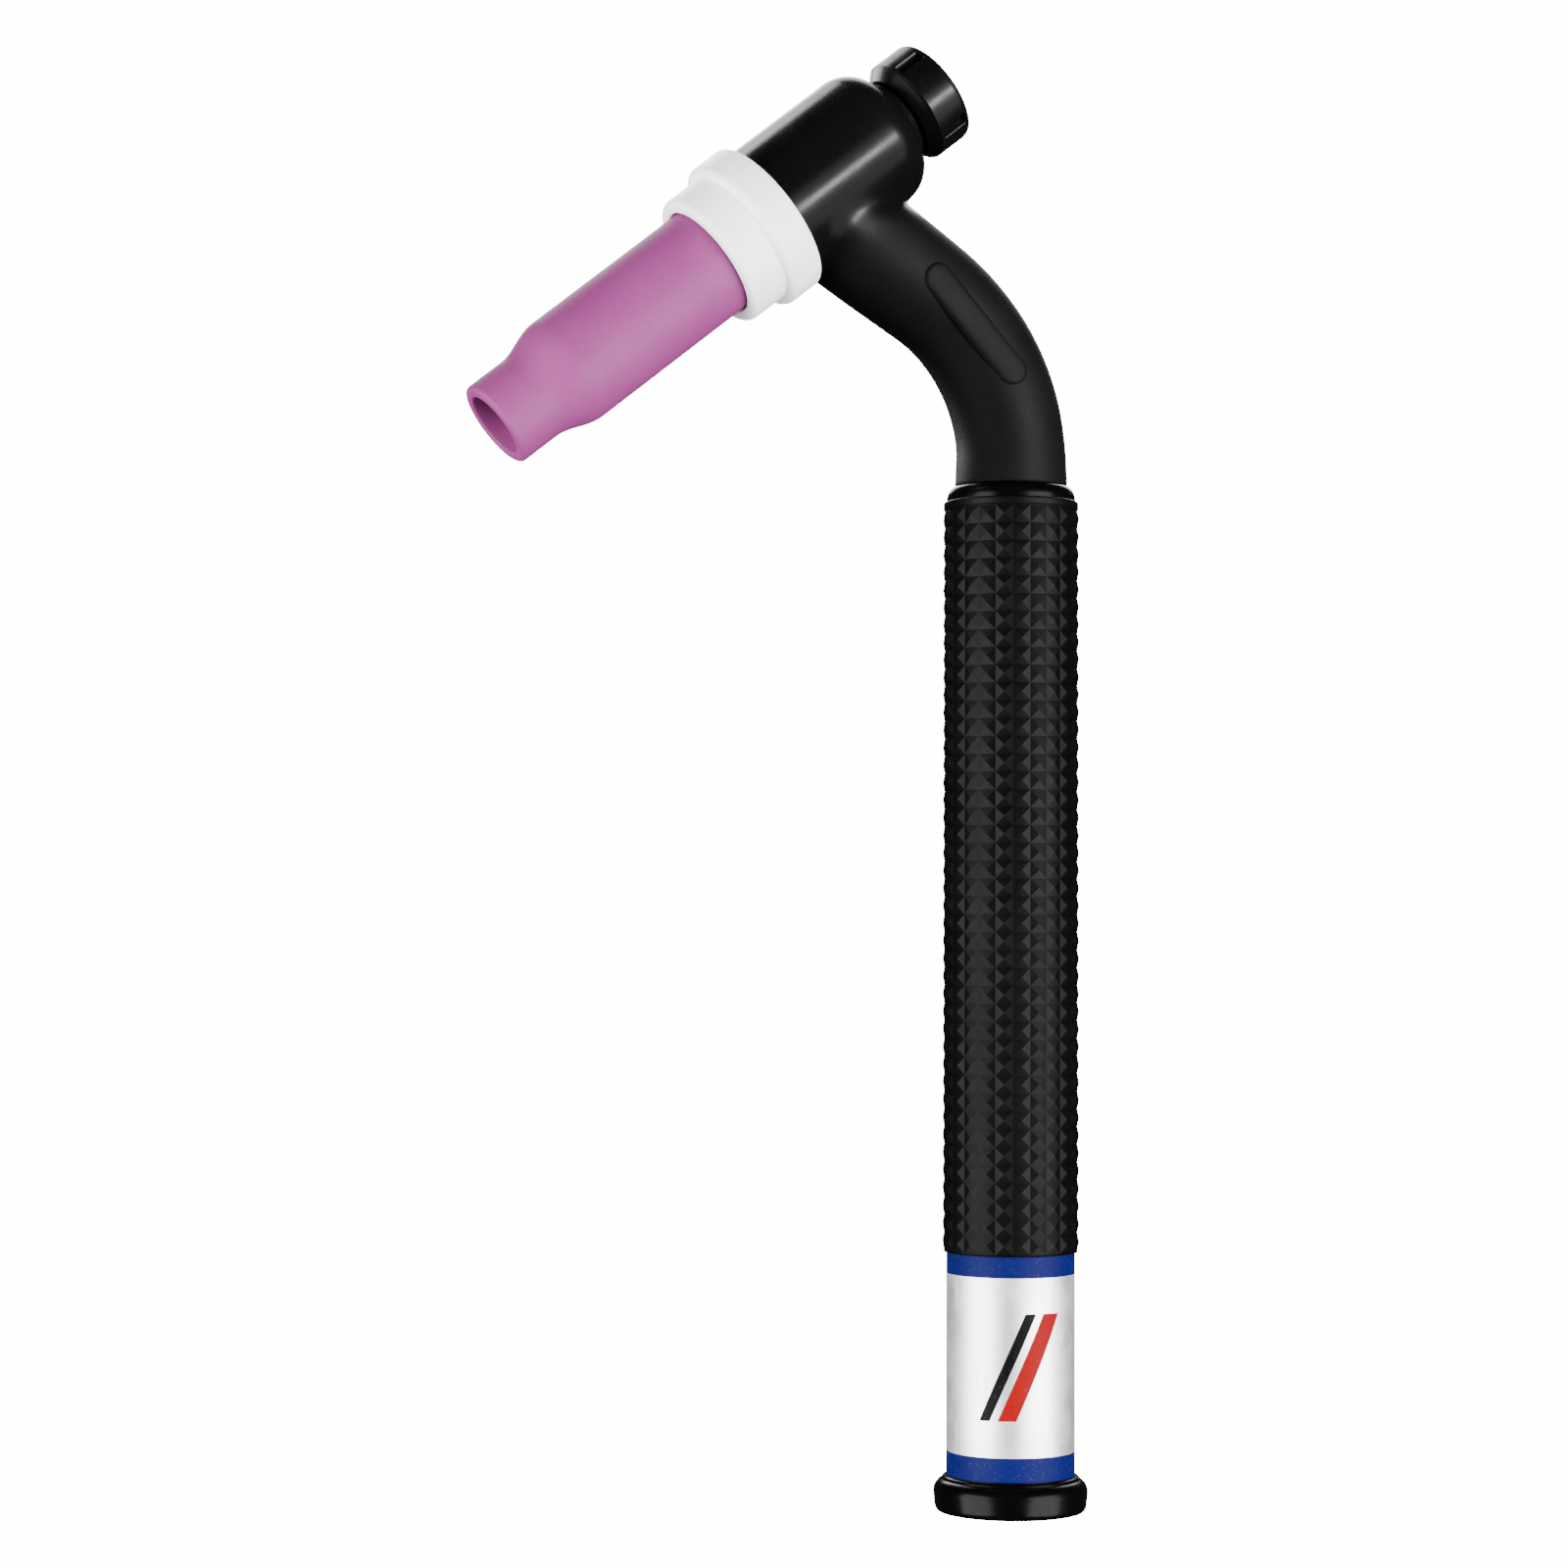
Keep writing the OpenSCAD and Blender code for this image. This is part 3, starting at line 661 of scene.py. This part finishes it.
# %% Close the grip with its rims and its bore
loops = {"low": [], "high": []}
for e in grip_bm.edges:
    if e.is_boundary:
        loops["low" if e.verts[0].co.z < 0.1 else "high"].append(e)
low_rim = [(11.55, 44.32), (11.5, 44.2), (11.12, 44.2), (11.12, 60)]
high_rim = [(11.52, 171.95), (rim_r, 172.1), (rim_r, 173.0), (11.58, 173.2), (11.45, 173.3), (11.12, 173.3),
            (11.12, 160)]
low_end = draw_on(grip_bm, loops["low"], HANDLE, low_rim)
high_end = draw_on(grip_bm, loops["high"], HANDLE, high_rim)
bmesh.ops.bridge_loops(grip_bm, edges=low_end + high_end)
bmesh.ops.recalc_face_normals(grip_bm, faces=grip_bm.faces)
grip = from_bmesh("pyramid_grip", grip_bm, sharp_above=12)
stands_for(grip, "torch", "grip_sleeve")

# %% [markdown]
# ## The label
# A printed film goes once round the handle and laps over its own end at the back, which leaves a fine step.
# The print is part of the material; only the lap is modelled.

# %% Label film
lap_angle = math.radians(68.5)


def lap(angle, z, r):
    """The film is a hair thinner than its seat, except where its two ends lie on each other."""
    off = (angle - lap_angle + math.pi) % (2 * math.pi) - math.pi
    return np.where(r > 11, -0.06 * (1 - smooth_step((0.16 - np.abs(off)) / 0.012)), 0)


film_outline = soften([(10.96, seat_low + 0.06, 0.02), (11.09, seat_low + 0.06, 0.05),
                       (11.09, seat_high - 0.06, 0.05), (10.96, seat_high - 0.06, 0.02)], steps=3)
film = turned("label_film", film_outline, HANDLE, around=480, swell=lap)
stands_for(film, "torch", "label")

# %% [markdown]
# ## Inside the handle and the head
# Looking up the handle's mouth, a brass stud waits for the power cable. Its hexagon is a swell as well: the
# radius is cut down to six flats, and a chamfer at both ends comes from a smaller limit there.

# %% Power stud
flat_to_centre, hex_low, hex_high = 6.0, 104.0, 112.0


def hexagon(angle, z, r):
    flats = flat_to_centre / np.cos((angle + math.pi / 6) % (math.pi / 3) - math.pi / 6)
    chamfer = 6.35 + np.minimum(z - hex_low, hex_high - z) * 1.2
    inside = (z > hex_low - 0.01) & (z < hex_high + 0.01) & (r > 6.3)
    return np.where(inside, np.minimum(np.minimum(flats, chamfer), r) - r, 0)


stud_r = 4.7625
stud_outline = soften([(2.8, 92, 0.2), (stud_r, 92, 0.5), (stud_r, hex_low, 0.1), (6.93, hex_low, 0),
                       (6.93, hex_high, 0), (5.2, hex_high, 0.1), (5.2, 121, 0.4), (4, 121, 0.1),
                       (4, 116, 0.1), (2.8, 116, 0.1)])
stud_outline = finer(finer(stud_outline, 92, 103.4, 0.16), hex_low, hex_high, 0.14)
stud_thread = thread(92.3, 103, pitch=1.411, depth=0.7)
stud = turned("threaded_power_stud", stud_outline, HANDLE, around=96,
              swell=lambda a, z, r: hexagon(a, z, r) + stud_thread(a, z, r) * (r < 5))
stands_for(stud, "torch", "power_stud")

# %% [markdown]
# A rubber ring closes the gap between the cap and the head. A torus would be quicker to add, but the ring's
# section is a little longer than it is thick, so it is turned from an outline like the rest.

# %% Seal of the back cap
turns = np.linspace(0, 2 * math.pi, 28, endpoint=False)
seal_outline = np.stack([5.8 + 0.9 * np.cos(turns), 89.52 + 1.02 * np.sin(turns)], 1)
oring = turned("seal_ring", seal_outline, HEAD, around=96)
stands_for(oring, "cap_seal", "cap_oring")

# %% [markdown]
# ## Finishes
# Real parts are never one flat colour. Four small node groups carry what the finishes share: a slow *mottle*
# in colour, a *grain* for fine bumps, *lathe rings* along an axis and thin *scuffs*. Groups give masks and
# heights only; each material decides what they do, next to its own shader.


# %% A short way to write nodes
def node(tree, kind, inputs=None, **settings):
    """Adds a node; inputs maps a socket's name or number to a constant or to another node's socket."""
    made = tree.nodes.new(kind)
    for key, value in settings.items():
        setattr(made, key, value)
    for key, value in (inputs or {}).items():
        if isinstance(value, bpy.types.NodeSocket):
            tree.links.new(value, made.inputs[key])
        else:
            made.inputs[key].default_value = value
    return made


def group(name, inputs, outputs):
    """A node group with (name, default) inputs of the kind of each default, and float outputs."""
    tree = bpy.data.node_groups.new(name, "ShaderNodeTree")
    for key, default in inputs:
        kind = "NodeSocketVector" if default is None else "NodeSocketFloat"
        socket = tree.interface.new_socket(name=key, in_out="INPUT", socket_type=kind)
        if default is not None:
            socket.default_value = default
    for key in outputs:
        tree.interface.new_socket(name=key, in_out="OUTPUT", socket_type="NodeSocketFloat")
    print(f"node group {name} gives", " and ".join(outputs).lower())
    return tree, tree.nodes.new("NodeGroupInput"), tree.nodes.new("NodeGroupOutput")


def maths(tree, operation, a, b=0.0, c=0.0, clamp=False):
    """The result of a Math node."""
    return node(tree, "ShaderNodeMath", {0: a, 1: b, 2: c}, operation=operation, use_clamp=clamp).outputs[0]


def vectors(tree, operation, a, b=(0.0, 0.0, 0.0), result="Vector"):
    """The result of a Vector Math node."""
    return node(tree, "ShaderNodeVectorMath", {0: a, 1: b}, operation=operation).outputs[result]


def between(tree, value, low, high, to_low=0.0, to_high=1.0):
    """The value mapped smoothly from one range to another and held at its ends."""
    settings = {"Value": value, "From Min": low, "From Max": high, "To Min": to_low, "To Max": to_high}
    return node(tree, "ShaderNodeMapRange", settings, interpolation_type="SMOOTHSTEP").outputs["Result"]


def noise(tree, vector, scale, detail=2.0, roughness=0.5):
    """Noise round a half; the scale is in waves per metre."""
    settings = {"Vector": vector, "Scale": scale, "Detail": detail, "Roughness": roughness}
    return node(tree, "ShaderNodeTexNoise", settings).outputs["Fac"]


# %% Mottle: slow patches of a darker or lighter tone
mottle, given, out = group("mottle", [("Vector", None), ("Per mm", 0.1), ("Contrast", 0.3)], ["Mask"])
scale = maths(mottle, "MULTIPLY", given.outputs["Per mm"], 1000.0)
broad = noise(mottle, given.outputs["Vector"], scale, detail=4.0, roughness=0.6)
low = maths(mottle, "SUBTRACT", 0.5, given.outputs["Contrast"])
high = maths(mottle, "ADD", 0.5, given.outputs["Contrast"])
mottle.links.new(between(mottle, broad, low, high), out.inputs["Mask"])

# %% Grain: fine bumps of a moulded or cast surface
grain, given, out = group("grain", [("Vector", None), ("Per mm", 3.0)], ["Height", "Pits"])
scale = maths(grain, "MULTIPLY", given.outputs["Per mm"], 1000.0)
wide_apart = maths(grain, "MULTIPLY", scale, 0.35)
pore_settings = {"Vector": given.outputs["Vector"], "Scale": wide_apart, "Randomness": 1.0}
pores = node(grain, "ShaderNodeTexVoronoi", pore_settings).outputs["Distance"]
height = noise(grain, given.outputs["Vector"], scale, detail=3.0, roughness=0.55)
grain.links.new(height, out.inputs["Height"])
grain.links.new(between(grain, pores, 0.0, 0.16, 1.0, 0.0), out.inputs["Pits"])

# %% Lathe rings: fine lines round an axis, never quite even
lathe, given, out = group("lathe_rings", [("Vector", None), ("Axis", None), ("Per mm", 4.0)], ["Height"])
along = vectors(lathe, "DOT_PRODUCT", given.outputs["Vector"], given.outputs["Axis"], "Value")
scaled = maths(lathe, "MULTIPLY", maths(lathe, "MULTIPLY", along, given.outputs["Per mm"]), 1000.0)
wander = noise(lathe, given.outputs["Vector"], 120.0)
line = maths(lathe, "ADD", scaled, maths(lathe, "MULTIPLY", wander, 0.5))
line_settings = {"W": line, "Scale": 1.0, "Detail": 2.0, "Roughness": 0.6}
marks = node(lathe, "ShaderNodeTexNoise", line_settings, noise_dimensions="1D").outputs["Fac"]
lathe.links.new(marks, out.inputs["Height"])

# %% Scuffs: a few long thin scratches, and faint dust
scuffs, given, out = group("scuffs", [("Vector", None), ("Amount", 0.5)], ["Scratches", "Dust"])
scratch_sets = []
for turn in ((0.4, 0.2, 0.0), (-0.5, 0.1, 1.1)):
    stretch = {"Vector": given.outputs["Vector"], "Rotation": turn, "Scale": (2600.0, 1900.0, 120.0)}
    laid = node(scuffs, "ShaderNodeMapping", stretch, vector_type="POINT").outputs["Vector"]
    scratch_sets.append(between(scuffs, noise(scuffs, laid, 0.6, detail=1.0), 0.66, 0.74))
both = maths(scuffs, "MAXIMUM", *scratch_sets)
patch = noise(scuffs, given.outputs["Vector"], 90.0)
where = maths(scuffs, "MULTIPLY", between(scuffs, patch, 0.45, 0.65), given.outputs["Amount"])
scuffs.links.new(maths(scuffs, "MULTIPLY", both, where), out.inputs["Scratches"])
specks = between(scuffs, noise(scuffs, given.outputs["Vector"], 2600.0), 0.62, 0.75)
scuffs.links.new(maths(scuffs, "MULTIPLY", specks, given.outputs["Amount"]), out.inputs["Dust"])


# %% [markdown]
# A finish is then a few lines: its tones, its roughness range and how strong each shared effect is. The
# numbers that stay the same everywhere sit directly on the shader.


# %% Build a finish
def colour(r, g, b):
    """An sRGB colour with values up to 255, as the linear colour that shaders use."""
    linear = [((c / 255 + 0.055) / 1.055) ** 2.4 if c > 10 else c / 255 / 12.92 for c in (r, g, b)]
    return (*linear, 1.0)


def use(tree, shared, inputs):
    """Places a node group and returns its outputs."""
    return node(tree, "ShaderNodeGroup", inputs, node_tree=shared).outputs


def blend_colour(tree, factor, a, b, mode="MIX"):
    """The result of a Mix node for colours."""
    inputs = {0: factor, 6: a, 7: b}
    return node(tree, "ShaderNodeMix", inputs, data_type="RGBA", blend_type=mode).outputs[2]


def finish(name, dark, light, rough=(0.4, 0.5), metal=0.0, patches=0.08, contrast=0.3, grain_per_mm=3.0,
           grain_um=8.0, rings_um=0.0, rings_per_mm=4.0, axis=None, scuff=0.3, dust=None, pits=0.0,
           specular=0.5, edit=None):
    """A procedural material; sizes are per millimetre and heights in micrometres."""
    made = bpy.data.materials.new(name)
    made.use_nodes = True
    tree = made.node_tree
    shader = tree.nodes["Principled BSDF"]
    place = node(tree, "ShaderNodeTexCoord").outputs["Object"]
    slow = use(tree, mottle, {"Vector": place, "Per mm": patches, "Contrast": contrast})["Mask"]
    fine_parts = use(tree, grain, {"Vector": place, "Per mm": grain_per_mm})
    wear = use(tree, scuffs, {"Vector": place, "Amount": scuff})
    tone = blend_colour(tree, slow, dark, light)
    if edit:
        tone = edit(tree, place, tone, shader)
    if pits:
        tone = blend_colour(tree, maths(tree, "MULTIPLY", fine_parts["Pits"], pits), tone, dark, "MULTIPLY")
    if dust:
        tone = blend_colour(tree, maths(tree, "MULTIPLY", wear["Dust"], 0.5), tone, dust)
    tree.links.new(tone, shader.inputs["Base Color"])
    grainy = maths(tree, "MULTIPLY", fine_parts["Height"], 0.4)
    uneven = maths(tree, "ADD", maths(tree, "MULTIPLY", slow, 0.6), grainy)
    gloss = between(tree, uneven, 0.2, 0.8, rough[0], rough[1])
    gloss = maths(tree, "ADD", gloss, maths(tree, "MULTIPLY", wear["Scratches"], 0.25), clamp=True)
    tree.links.new(gloss, shader.inputs["Roughness"])
    height = maths(tree, "MULTIPLY", fine_parts["Height"], grain_um)
    if rings_um:
        rings = use(tree, lathe, {"Vector": place, "Axis": tuple(axis), "Per mm": rings_per_mm})["Height"]
        height = maths(tree, "ADD", height, maths(tree, "MULTIPLY", rings, rings_um))
    height = maths(tree, "SUBTRACT", height, maths(tree, "MULTIPLY", wear["Scratches"], 4.0))
    bump = node(tree, "ShaderNodeBump", {"Strength": 1.0, "Distance": 1e-6, "Height": height})
    tree.links.new(bump.outputs["Normal"], shader.inputs["Normal"])
    shader.inputs["Metallic"].default_value = metal
    shader.inputs["Specular IOR Level"].default_value = specular
    print(f"finish {name}: {len(tree.nodes)} nodes")
    return made


head_axis, handle_axis = HEAD.to_3x3().col[2], Vector((0, 0, 1))
black, grey_dust = colour(2.4, 2.4, 2.4), colour(16, 16, 16)


# %% [markdown]
# Fired alumina is hard, dry and slightly pitted, and grinding leaves faint rings round it. The insulating
# ring is smoother and has only the rings. Painted textures could carry such marks, but noise in the object's
# own space needs no unwrapping and shows no seam.


# %% Fired alumina, with shallow pits and a pale dust
pink = finish("pink_alumina", colour(110, 45, 94), colour(117, 50, 100), rough=(0.5, 0.56), patches=0.12,
              contrast=0.45, grain_per_mm=5, grain_um=5, rings_um=3, rings_per_mm=2.2, axis=head_axis,
              scuff=0.25, dust=colour(150, 96, 138), pits=0.2, specular=0.12)

# %% White heat-proof plastic
white = finish("white_plastic", colour(236, 236, 234), colour(248, 248, 247), rough=(0.3, 0.42), patches=0.1,
               grain_per_mm=4, grain_um=3, rings_um=3, rings_per_mm=3, axis=head_axis, scuff=0.2,
               dust=colour(190, 186, 178))


# %% [markdown]
# The head's barrel was polished in its mould, while the bent neck came out dull. Both are one piece of
# rubber, so its roughness has to change along it. The distance from the head's axis tells the two apart: a
# cross product with the axis gives it, and everything further out than the barrel's side is made rougher.


# %% Black moulded rubber of the head and the neck
def dull_neck(material, rougher):
    """Adds to the roughness of a finish wherever the moulding is further out than the barrel."""
    tree = material.node_tree
    shader = tree.nodes["Principled BSDF"]
    polished = shader.inputs["Roughness"].links[0].from_socket
    place = node(tree, "ShaderNodeTexCoord").outputs["Object"]
    aside = vectors(tree, "CROSS_PRODUCT", vectors(tree, "SUBTRACT", place, tuple(tip)), tuple(head_axis))
    off_axis = vectors(tree, "LENGTH", aside, result="Value")
    on_neck_only = between(tree, off_axis, 0.0126, 0.018)
    dull = maths(tree, "ADD", polished, maths(tree, "MULTIPLY", on_neck_only, rougher))
    tree.links.new(dull, shader.inputs["Roughness"])


rubber = finish("head_rubber", black, colour(3.6, 3.6, 3.6), rough=(0.2, 0.26), patches=0.09,
                grain_per_mm=2.2, grain_um=5, scuff=0.3, dust=grey_dust, specular=0.02)
dull_neck(rubber, rougher=0.36)

# %% [markdown]
# The cap is pressed phenolic and the handle's tube is a moulded plastic with a gloss. Both are nearly black,
# so their colours can't tell them apart: it is how sharp and how strong their highlights are.


# %% Phenolic of the back cap
phenolic = finish("cap_plastic", black, colour(3.4, 3.4, 3.4), rough=(0.22, 0.3), patches=0.2,
                  grain_per_mm=3, grain_um=3, rings_um=2, rings_per_mm=2, axis=head_axis, scuff=0.4,
                  dust=grey_dust, specular=0.025)

# %% Glossy plastic of the handle
gloss_black = finish("handle_plastic", black, colour(3.4, 3.4, 3.4), rough=(0.2, 0.28), patches=0.1,
                     grain_per_mm=1.5, grain_um=4, rings_um=1.5, rings_per_mm=1, axis=handle_axis, scuff=0.5,
                     dust=grey_dust, specular=0.055)


# %% [markdown]
# The grip's valleys get painted shade: the rubber's tone is darkened there, where little light goes, and its
# peaks are worn a little paler.
# The distance from the handle's axis tells the two apart, so the mask follows the pyramids exactly.


# %% Grip rubber
def valley_shade_and_worn_peaks(tree, place, tone, shader):
    """Paints shade near the valleys' radius by darkening the tone, and lightens the tone near the peaks' as
    wear.
    """
    radius = vectors(tree, "LENGTH", vectors(tree, "MULTIPLY", place, (1.0, 1.0, 0.0)), result="Value")
    # painted shade: this mask is 1 down in the valleys, where little light goes
    valley_shade = between(tree, radius, valley_r * MM, (valley_r + 0.2) * MM, 1.0, 0.0)
    worn = between(tree, radius, (peak_r - 0.12) * MM, peak_r * MM)
    # the painted shade: near-black mixed over up to half of the tone in the valleys
    tone = blend_colour(tree, maths(tree, "MULTIPLY", valley_shade, 0.5), tone, colour(1, 1, 1))
    return blend_colour(tree, maths(tree, "MULTIPLY", worn, 0.4), tone, colour(8, 9, 9))


grip_rubber = finish("grip_rubber", colour(3, 3.4, 3.4), colour(4, 4.4, 4.4), rough=(0.38, 0.46),
                     patches=0.07, grain_per_mm=3.2, grain_um=8, scuff=0.4, dust=colour(13, 14, 13),
                     specular=0.052, edit=valley_shade_and_worn_peaks)


# %% [markdown]
# The label is printed in bands: blue at both ends, silvery white between, and two slanted bars as a plain
# decoration on the side that shows. Bands are steps in height, and the bars are steps in angle and height.


# %% Label print
def between_steps(tree, value, low, high, soft=0.00004):
    """1 between two values and 0 beyond them, with a soft step at both."""
    rise = between(tree, value, low - soft, low + soft)
    fall = between(tree, value, high - soft, high + soft, 1.0, 0.0)
    return maths(tree, "MULTIPLY", rise, fall)


def printed(tree, place, tone, shader):
    """Prints bands and bars on the tone, and takes the film's metal away under the ink."""
    parts = node(tree, "ShaderNodeSeparateXYZ", {0: place}).outputs
    low_band = between_steps(tree, parts["Z"], 0.0, 0.0103)
    bands = maths(tree, "MAXIMUM", low_band, between_steps(tree, parts["Z"], 0.04055, 0.05))
    leftward, frontward = (maths(tree, "SUBTRACT", 0.0, parts[axis]) for axis in "XY")
    across_it = maths(tree, "MULTIPLY", maths(tree, "ARCTAN2", leftward, frontward), handle_r * MM)
    slanted = maths(tree, "ADD", across_it, maths(tree, "MULTIPLY", parts["Z"], 0.45))
    tall = between_steps(tree, parts["Z"], 0.0165, 0.0345)
    red_bar = maths(tree, "MULTIPLY", between_steps(tree, slanted, 0.0106, 0.0138), tall)
    grey_bar = maths(tree, "MULTIPLY", between_steps(tree, slanted, 0.0152, 0.0171), tall)
    tone = blend_colour(tree, bands, tone, colour(9, 13, 68))
    tone = blend_colour(tree, red_bar, tone, colour(118, 4, 7))
    ink = maths(tree, "MAXIMUM", bands, maths(tree, "MAXIMUM", red_bar, grey_bar))
    tree.links.new(between(tree, ink, 0.0, 1.0, 0.93, 0.0), shader.inputs["Metallic"])
    return blend_colour(tree, grey_bar, tone, colour(7, 7, 9))


label_print = finish("label_film", colour(216, 216, 219), colour(228, 228, 230), rough=(0.42, 0.5),
                     patches=0.15, grain_per_mm=8, grain_um=1.5, scuff=0.5, dust=colour(90, 90, 90),
                     specular=0.04, edit=printed)

# %% [markdown]
# What is inside only shows when the torch is taken apart: bright turned brass and copper, woven steel, a red
# sleeve and a soft seal. The turned metals share one set of values for the marks that a lathe leaves.


# %% Metals, plastics and rubber inside
turned_metal = {"metal": 1.0, "patches": 0.2, "grain_um": 2, "rings_per_mm": 5, "scuff": 0.6}
brass_tones = {"dark": colour(176, 134, 68), "light": colour(208, 168, 96), "dust": colour(90, 66, 40)}
brass = finish("brass", **brass_tones, rough=(0.22, 0.36), rings_um=6, axis=head_axis, **turned_metal)
stud_brass = finish("stud_brass", **brass_tones, rough=(0.22, 0.36), rings_um=5, axis=handle_axis,
                    **turned_metal)
copper = finish("copper", colour(170, 92, 62), colour(206, 124, 86), rough=(0.22, 0.38), rings_um=6,
                axis=head_axis, dust=colour(80, 44, 30), **turned_metal)
steel = finish("steel_mesh", colour(132, 130, 124), colour(170, 168, 162), rough=(0.3, 0.45), metal=1.0,
               patches=0.6, grain_um=2, scuff=0.3, dust=colour(70, 66, 60))
red_sleeve = finish("red_sleeve", colour(150, 28, 18), colour(178, 40, 28), rough=(0.28, 0.42), patches=0.15,
                    grain_um=6, scuff=0.4, dust=colour(120, 90, 80))
seal_rubber = finish("seal_rubber", colour(16, 16, 16), colour(26, 26, 26), rough=(0.45, 0.6), patches=0.3,
                     grain_um=8, scuff=0.3, dust=colour(80, 80, 78))

# %% Give every piece its finish
by_slot = {"pink_alumina": pink, "white_insulator": white, "lens_copper": copper, "fine_mesh": steel,
           "coarse_mesh": steel, "spacer_brass": brass, "spring_steel": steel, "collet_copper": copper,
           "cap_plastic": phenolic, "insert_brass": brass, "seal_rubber": seal_rubber, "block_brass": brass,
           "head_rubber": rubber, "tube_copper": copper, "sleeve_red": red_sleeve, "stud_brass": stud_brass,
           "handle_plastic": gloss_black, "grip_rubber": grip_rubber, "label_film": label_print}
dressed = {nozzle: pink, ring: white, lens_body: copper, coarse: steel, fine: steel, cap: phenolic,
           insert: brass, moulding: rubber, pad: rubber, handle: gloss_black, grip: grip_rubber,
           film: label_print, stud: stud_brass, oring: seal_rubber}
for subpart in frame["record"]["subparts"]:
    dressed[frame["nodes"][subpart["node"]]] = by_slot[subpart["material_slot"]]
for piece, material in dressed.items():
    piece.data.materials.clear()
    piece.data.materials.append(material)
print(len(dressed), "pieces dressed with", len(set(dressed.values())), "finishes")

# %% [markdown]
# ## Light and floor
# Two tall softboxes stand left and right of the camera. In a round handle they show as two long highlights
# with a dark band between, which is what tells the eye that it is round and glossy. A third lights the back.
# Black rubber needs more, so two strips light nothing but the head, its neck and its cap: a narrow one in
# front draws a thin line along the barrel, and a wide one gives it a sheen from behind. The sky is plain
# white to the camera and dim to the torch. The floor is plain white too; only the camera sees it, and only
# from above.


# %% Softboxes
def softbox(name, azimuth, elevation, distance, width, height, watts, aim=(-0.02, 0, 0.13)):
    """An area light that looks at a point; the azimuth is measured about Z from +X."""
    a, e = math.radians(azimuth), math.radians(elevation)
    away = Vector((math.cos(e) * math.cos(a), math.cos(e) * math.sin(a), math.sin(e)))
    light = bpy.data.lights.new(name, "AREA")
    light.shape, light.size, light.size_y, light.energy = "RECTANGLE", width, height, watts
    made = bpy.data.objects.new(name, light)
    made.location = Vector(aim) + away * distance
    made.rotation_euler = away.to_track_quat("Z", "Y").to_euler()
    made.visible_camera = False
    bpy.context.scene.collection.objects.link(made)
    made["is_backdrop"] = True
    return made


softbox("left_softbox", 194.5, -8, 0.9, 0.8, 1.1, 40)
softbox("right_softbox", 302.5, -8, 0.9, 0.8, 1.1, 44)
softbox("back_softbox", 70, 38, 1.1, 1.0, 0.8, 26)
head_strip = softbox("head_strip", 297.5, 0, 0.6, 0.05, 0.3, 26, aim=(-0.037, 0, 0.226))
head_strip.rotation_euler.rotate_axis("Z", math.radians(-48))
lit_by_strip = bpy.data.collections.new("lit_by_strip")
for piece in (moulding, pad, cap):
    lit_by_strip.objects.link(piece)
back_strip = softbox("back_strip", 122, 30, 0.8, 0.4, 0.9, 40, aim=(-0.03, 0, 0.22))
for strip in (head_strip, back_strip):
    strip.light_linking.receiver_collection = lit_by_strip
print("lights:", ", ".join(sorted(light.name for light in bpy.data.lights)))

# %% Sky: white to the camera, dim to everything else
world = bpy.data.worlds.new("studio")
bpy.context.scene.world = world
world.use_nodes = True
sky = world.node_tree
sky.nodes.clear()
seen = node(sky, "ShaderNodeLightPath").outputs["Is Camera Ray"]
plain = node(sky, "ShaderNodeBackground", {"Color": (1.0, 1.0, 1.0, 1.0), "Strength": 16.0})
dim = node(sky, "ShaderNodeBackground", {"Color": (0.9, 0.95, 1.0, 1.0), "Strength": 0.04})
choice = node(sky, "ShaderNodeMixShader", {0: seen, 1: dim.outputs[0], 2: plain.outputs[0]})
node(sky, "ShaderNodeOutputWorld", {"Surface": choice.outputs[0]})
print("sky:", world.name)

# %% Floor
bpy.ops.mesh.primitive_plane_add(size=6, location=(0, 0, -0.0003))
floor = bpy.context.object
floor.name = "floor"
floor_finish = bpy.data.materials.new("floor")
floor_finish.use_nodes = True
base = floor_finish.node_tree
shader = base.nodes["Principled BSDF"]
shader.inputs["Base Color"].default_value = (0.8, 0.8, 0.8, 1.0)
shader.inputs["Roughness"].default_value = 0.9
glow = node(base, "ShaderNodeEmission", {"Color": (1.0, 1.0, 1.0, 1.0), "Strength": 16.0})
path = node(base, "ShaderNodeLightPath").outputs["Is Camera Ray"]
top_side = node(base, "ShaderNodeMixShader", {0: path, 1: shader.outputs[0], 2: glow.outputs[0]})
behind = node(base, "ShaderNodeNewGeometry").outputs["Backfacing"]
nothing = node(base, "ShaderNodeBsdfTransparent")
result = node(base, "ShaderNodeMixShader", {0: behind, 1: top_side.outputs[0], 2: nothing.outputs[0]})
base.links.new(result.outputs[0], base.nodes["Material Output"].inputs["Surface"])
floor.data.materials.append(floor_finish)
floor.visible_diffuse = floor.visible_glossy = floor.visible_shadow = False
floor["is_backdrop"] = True
print("floor:", [round(side, 1) for side in floor.dimensions[:2]], "m")

# %% [markdown]
# ## The sizes of both boxes
# The dressed torch has to fill the same box as the imported model, so both boxes are kept side by side.

# %% Sizes
dressed_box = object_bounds()
sizes = {"cad": [[float(c) for c in corner] for corner in cad_box],
         "visual": [[float(c) for c in corner] for corner in dressed_box]}
for name, (lowest, highest) in sizes.items():
    print(name, "box:", [round((h - l) / MM, 2) for l, h in zip(lowest, highest)], "mm")
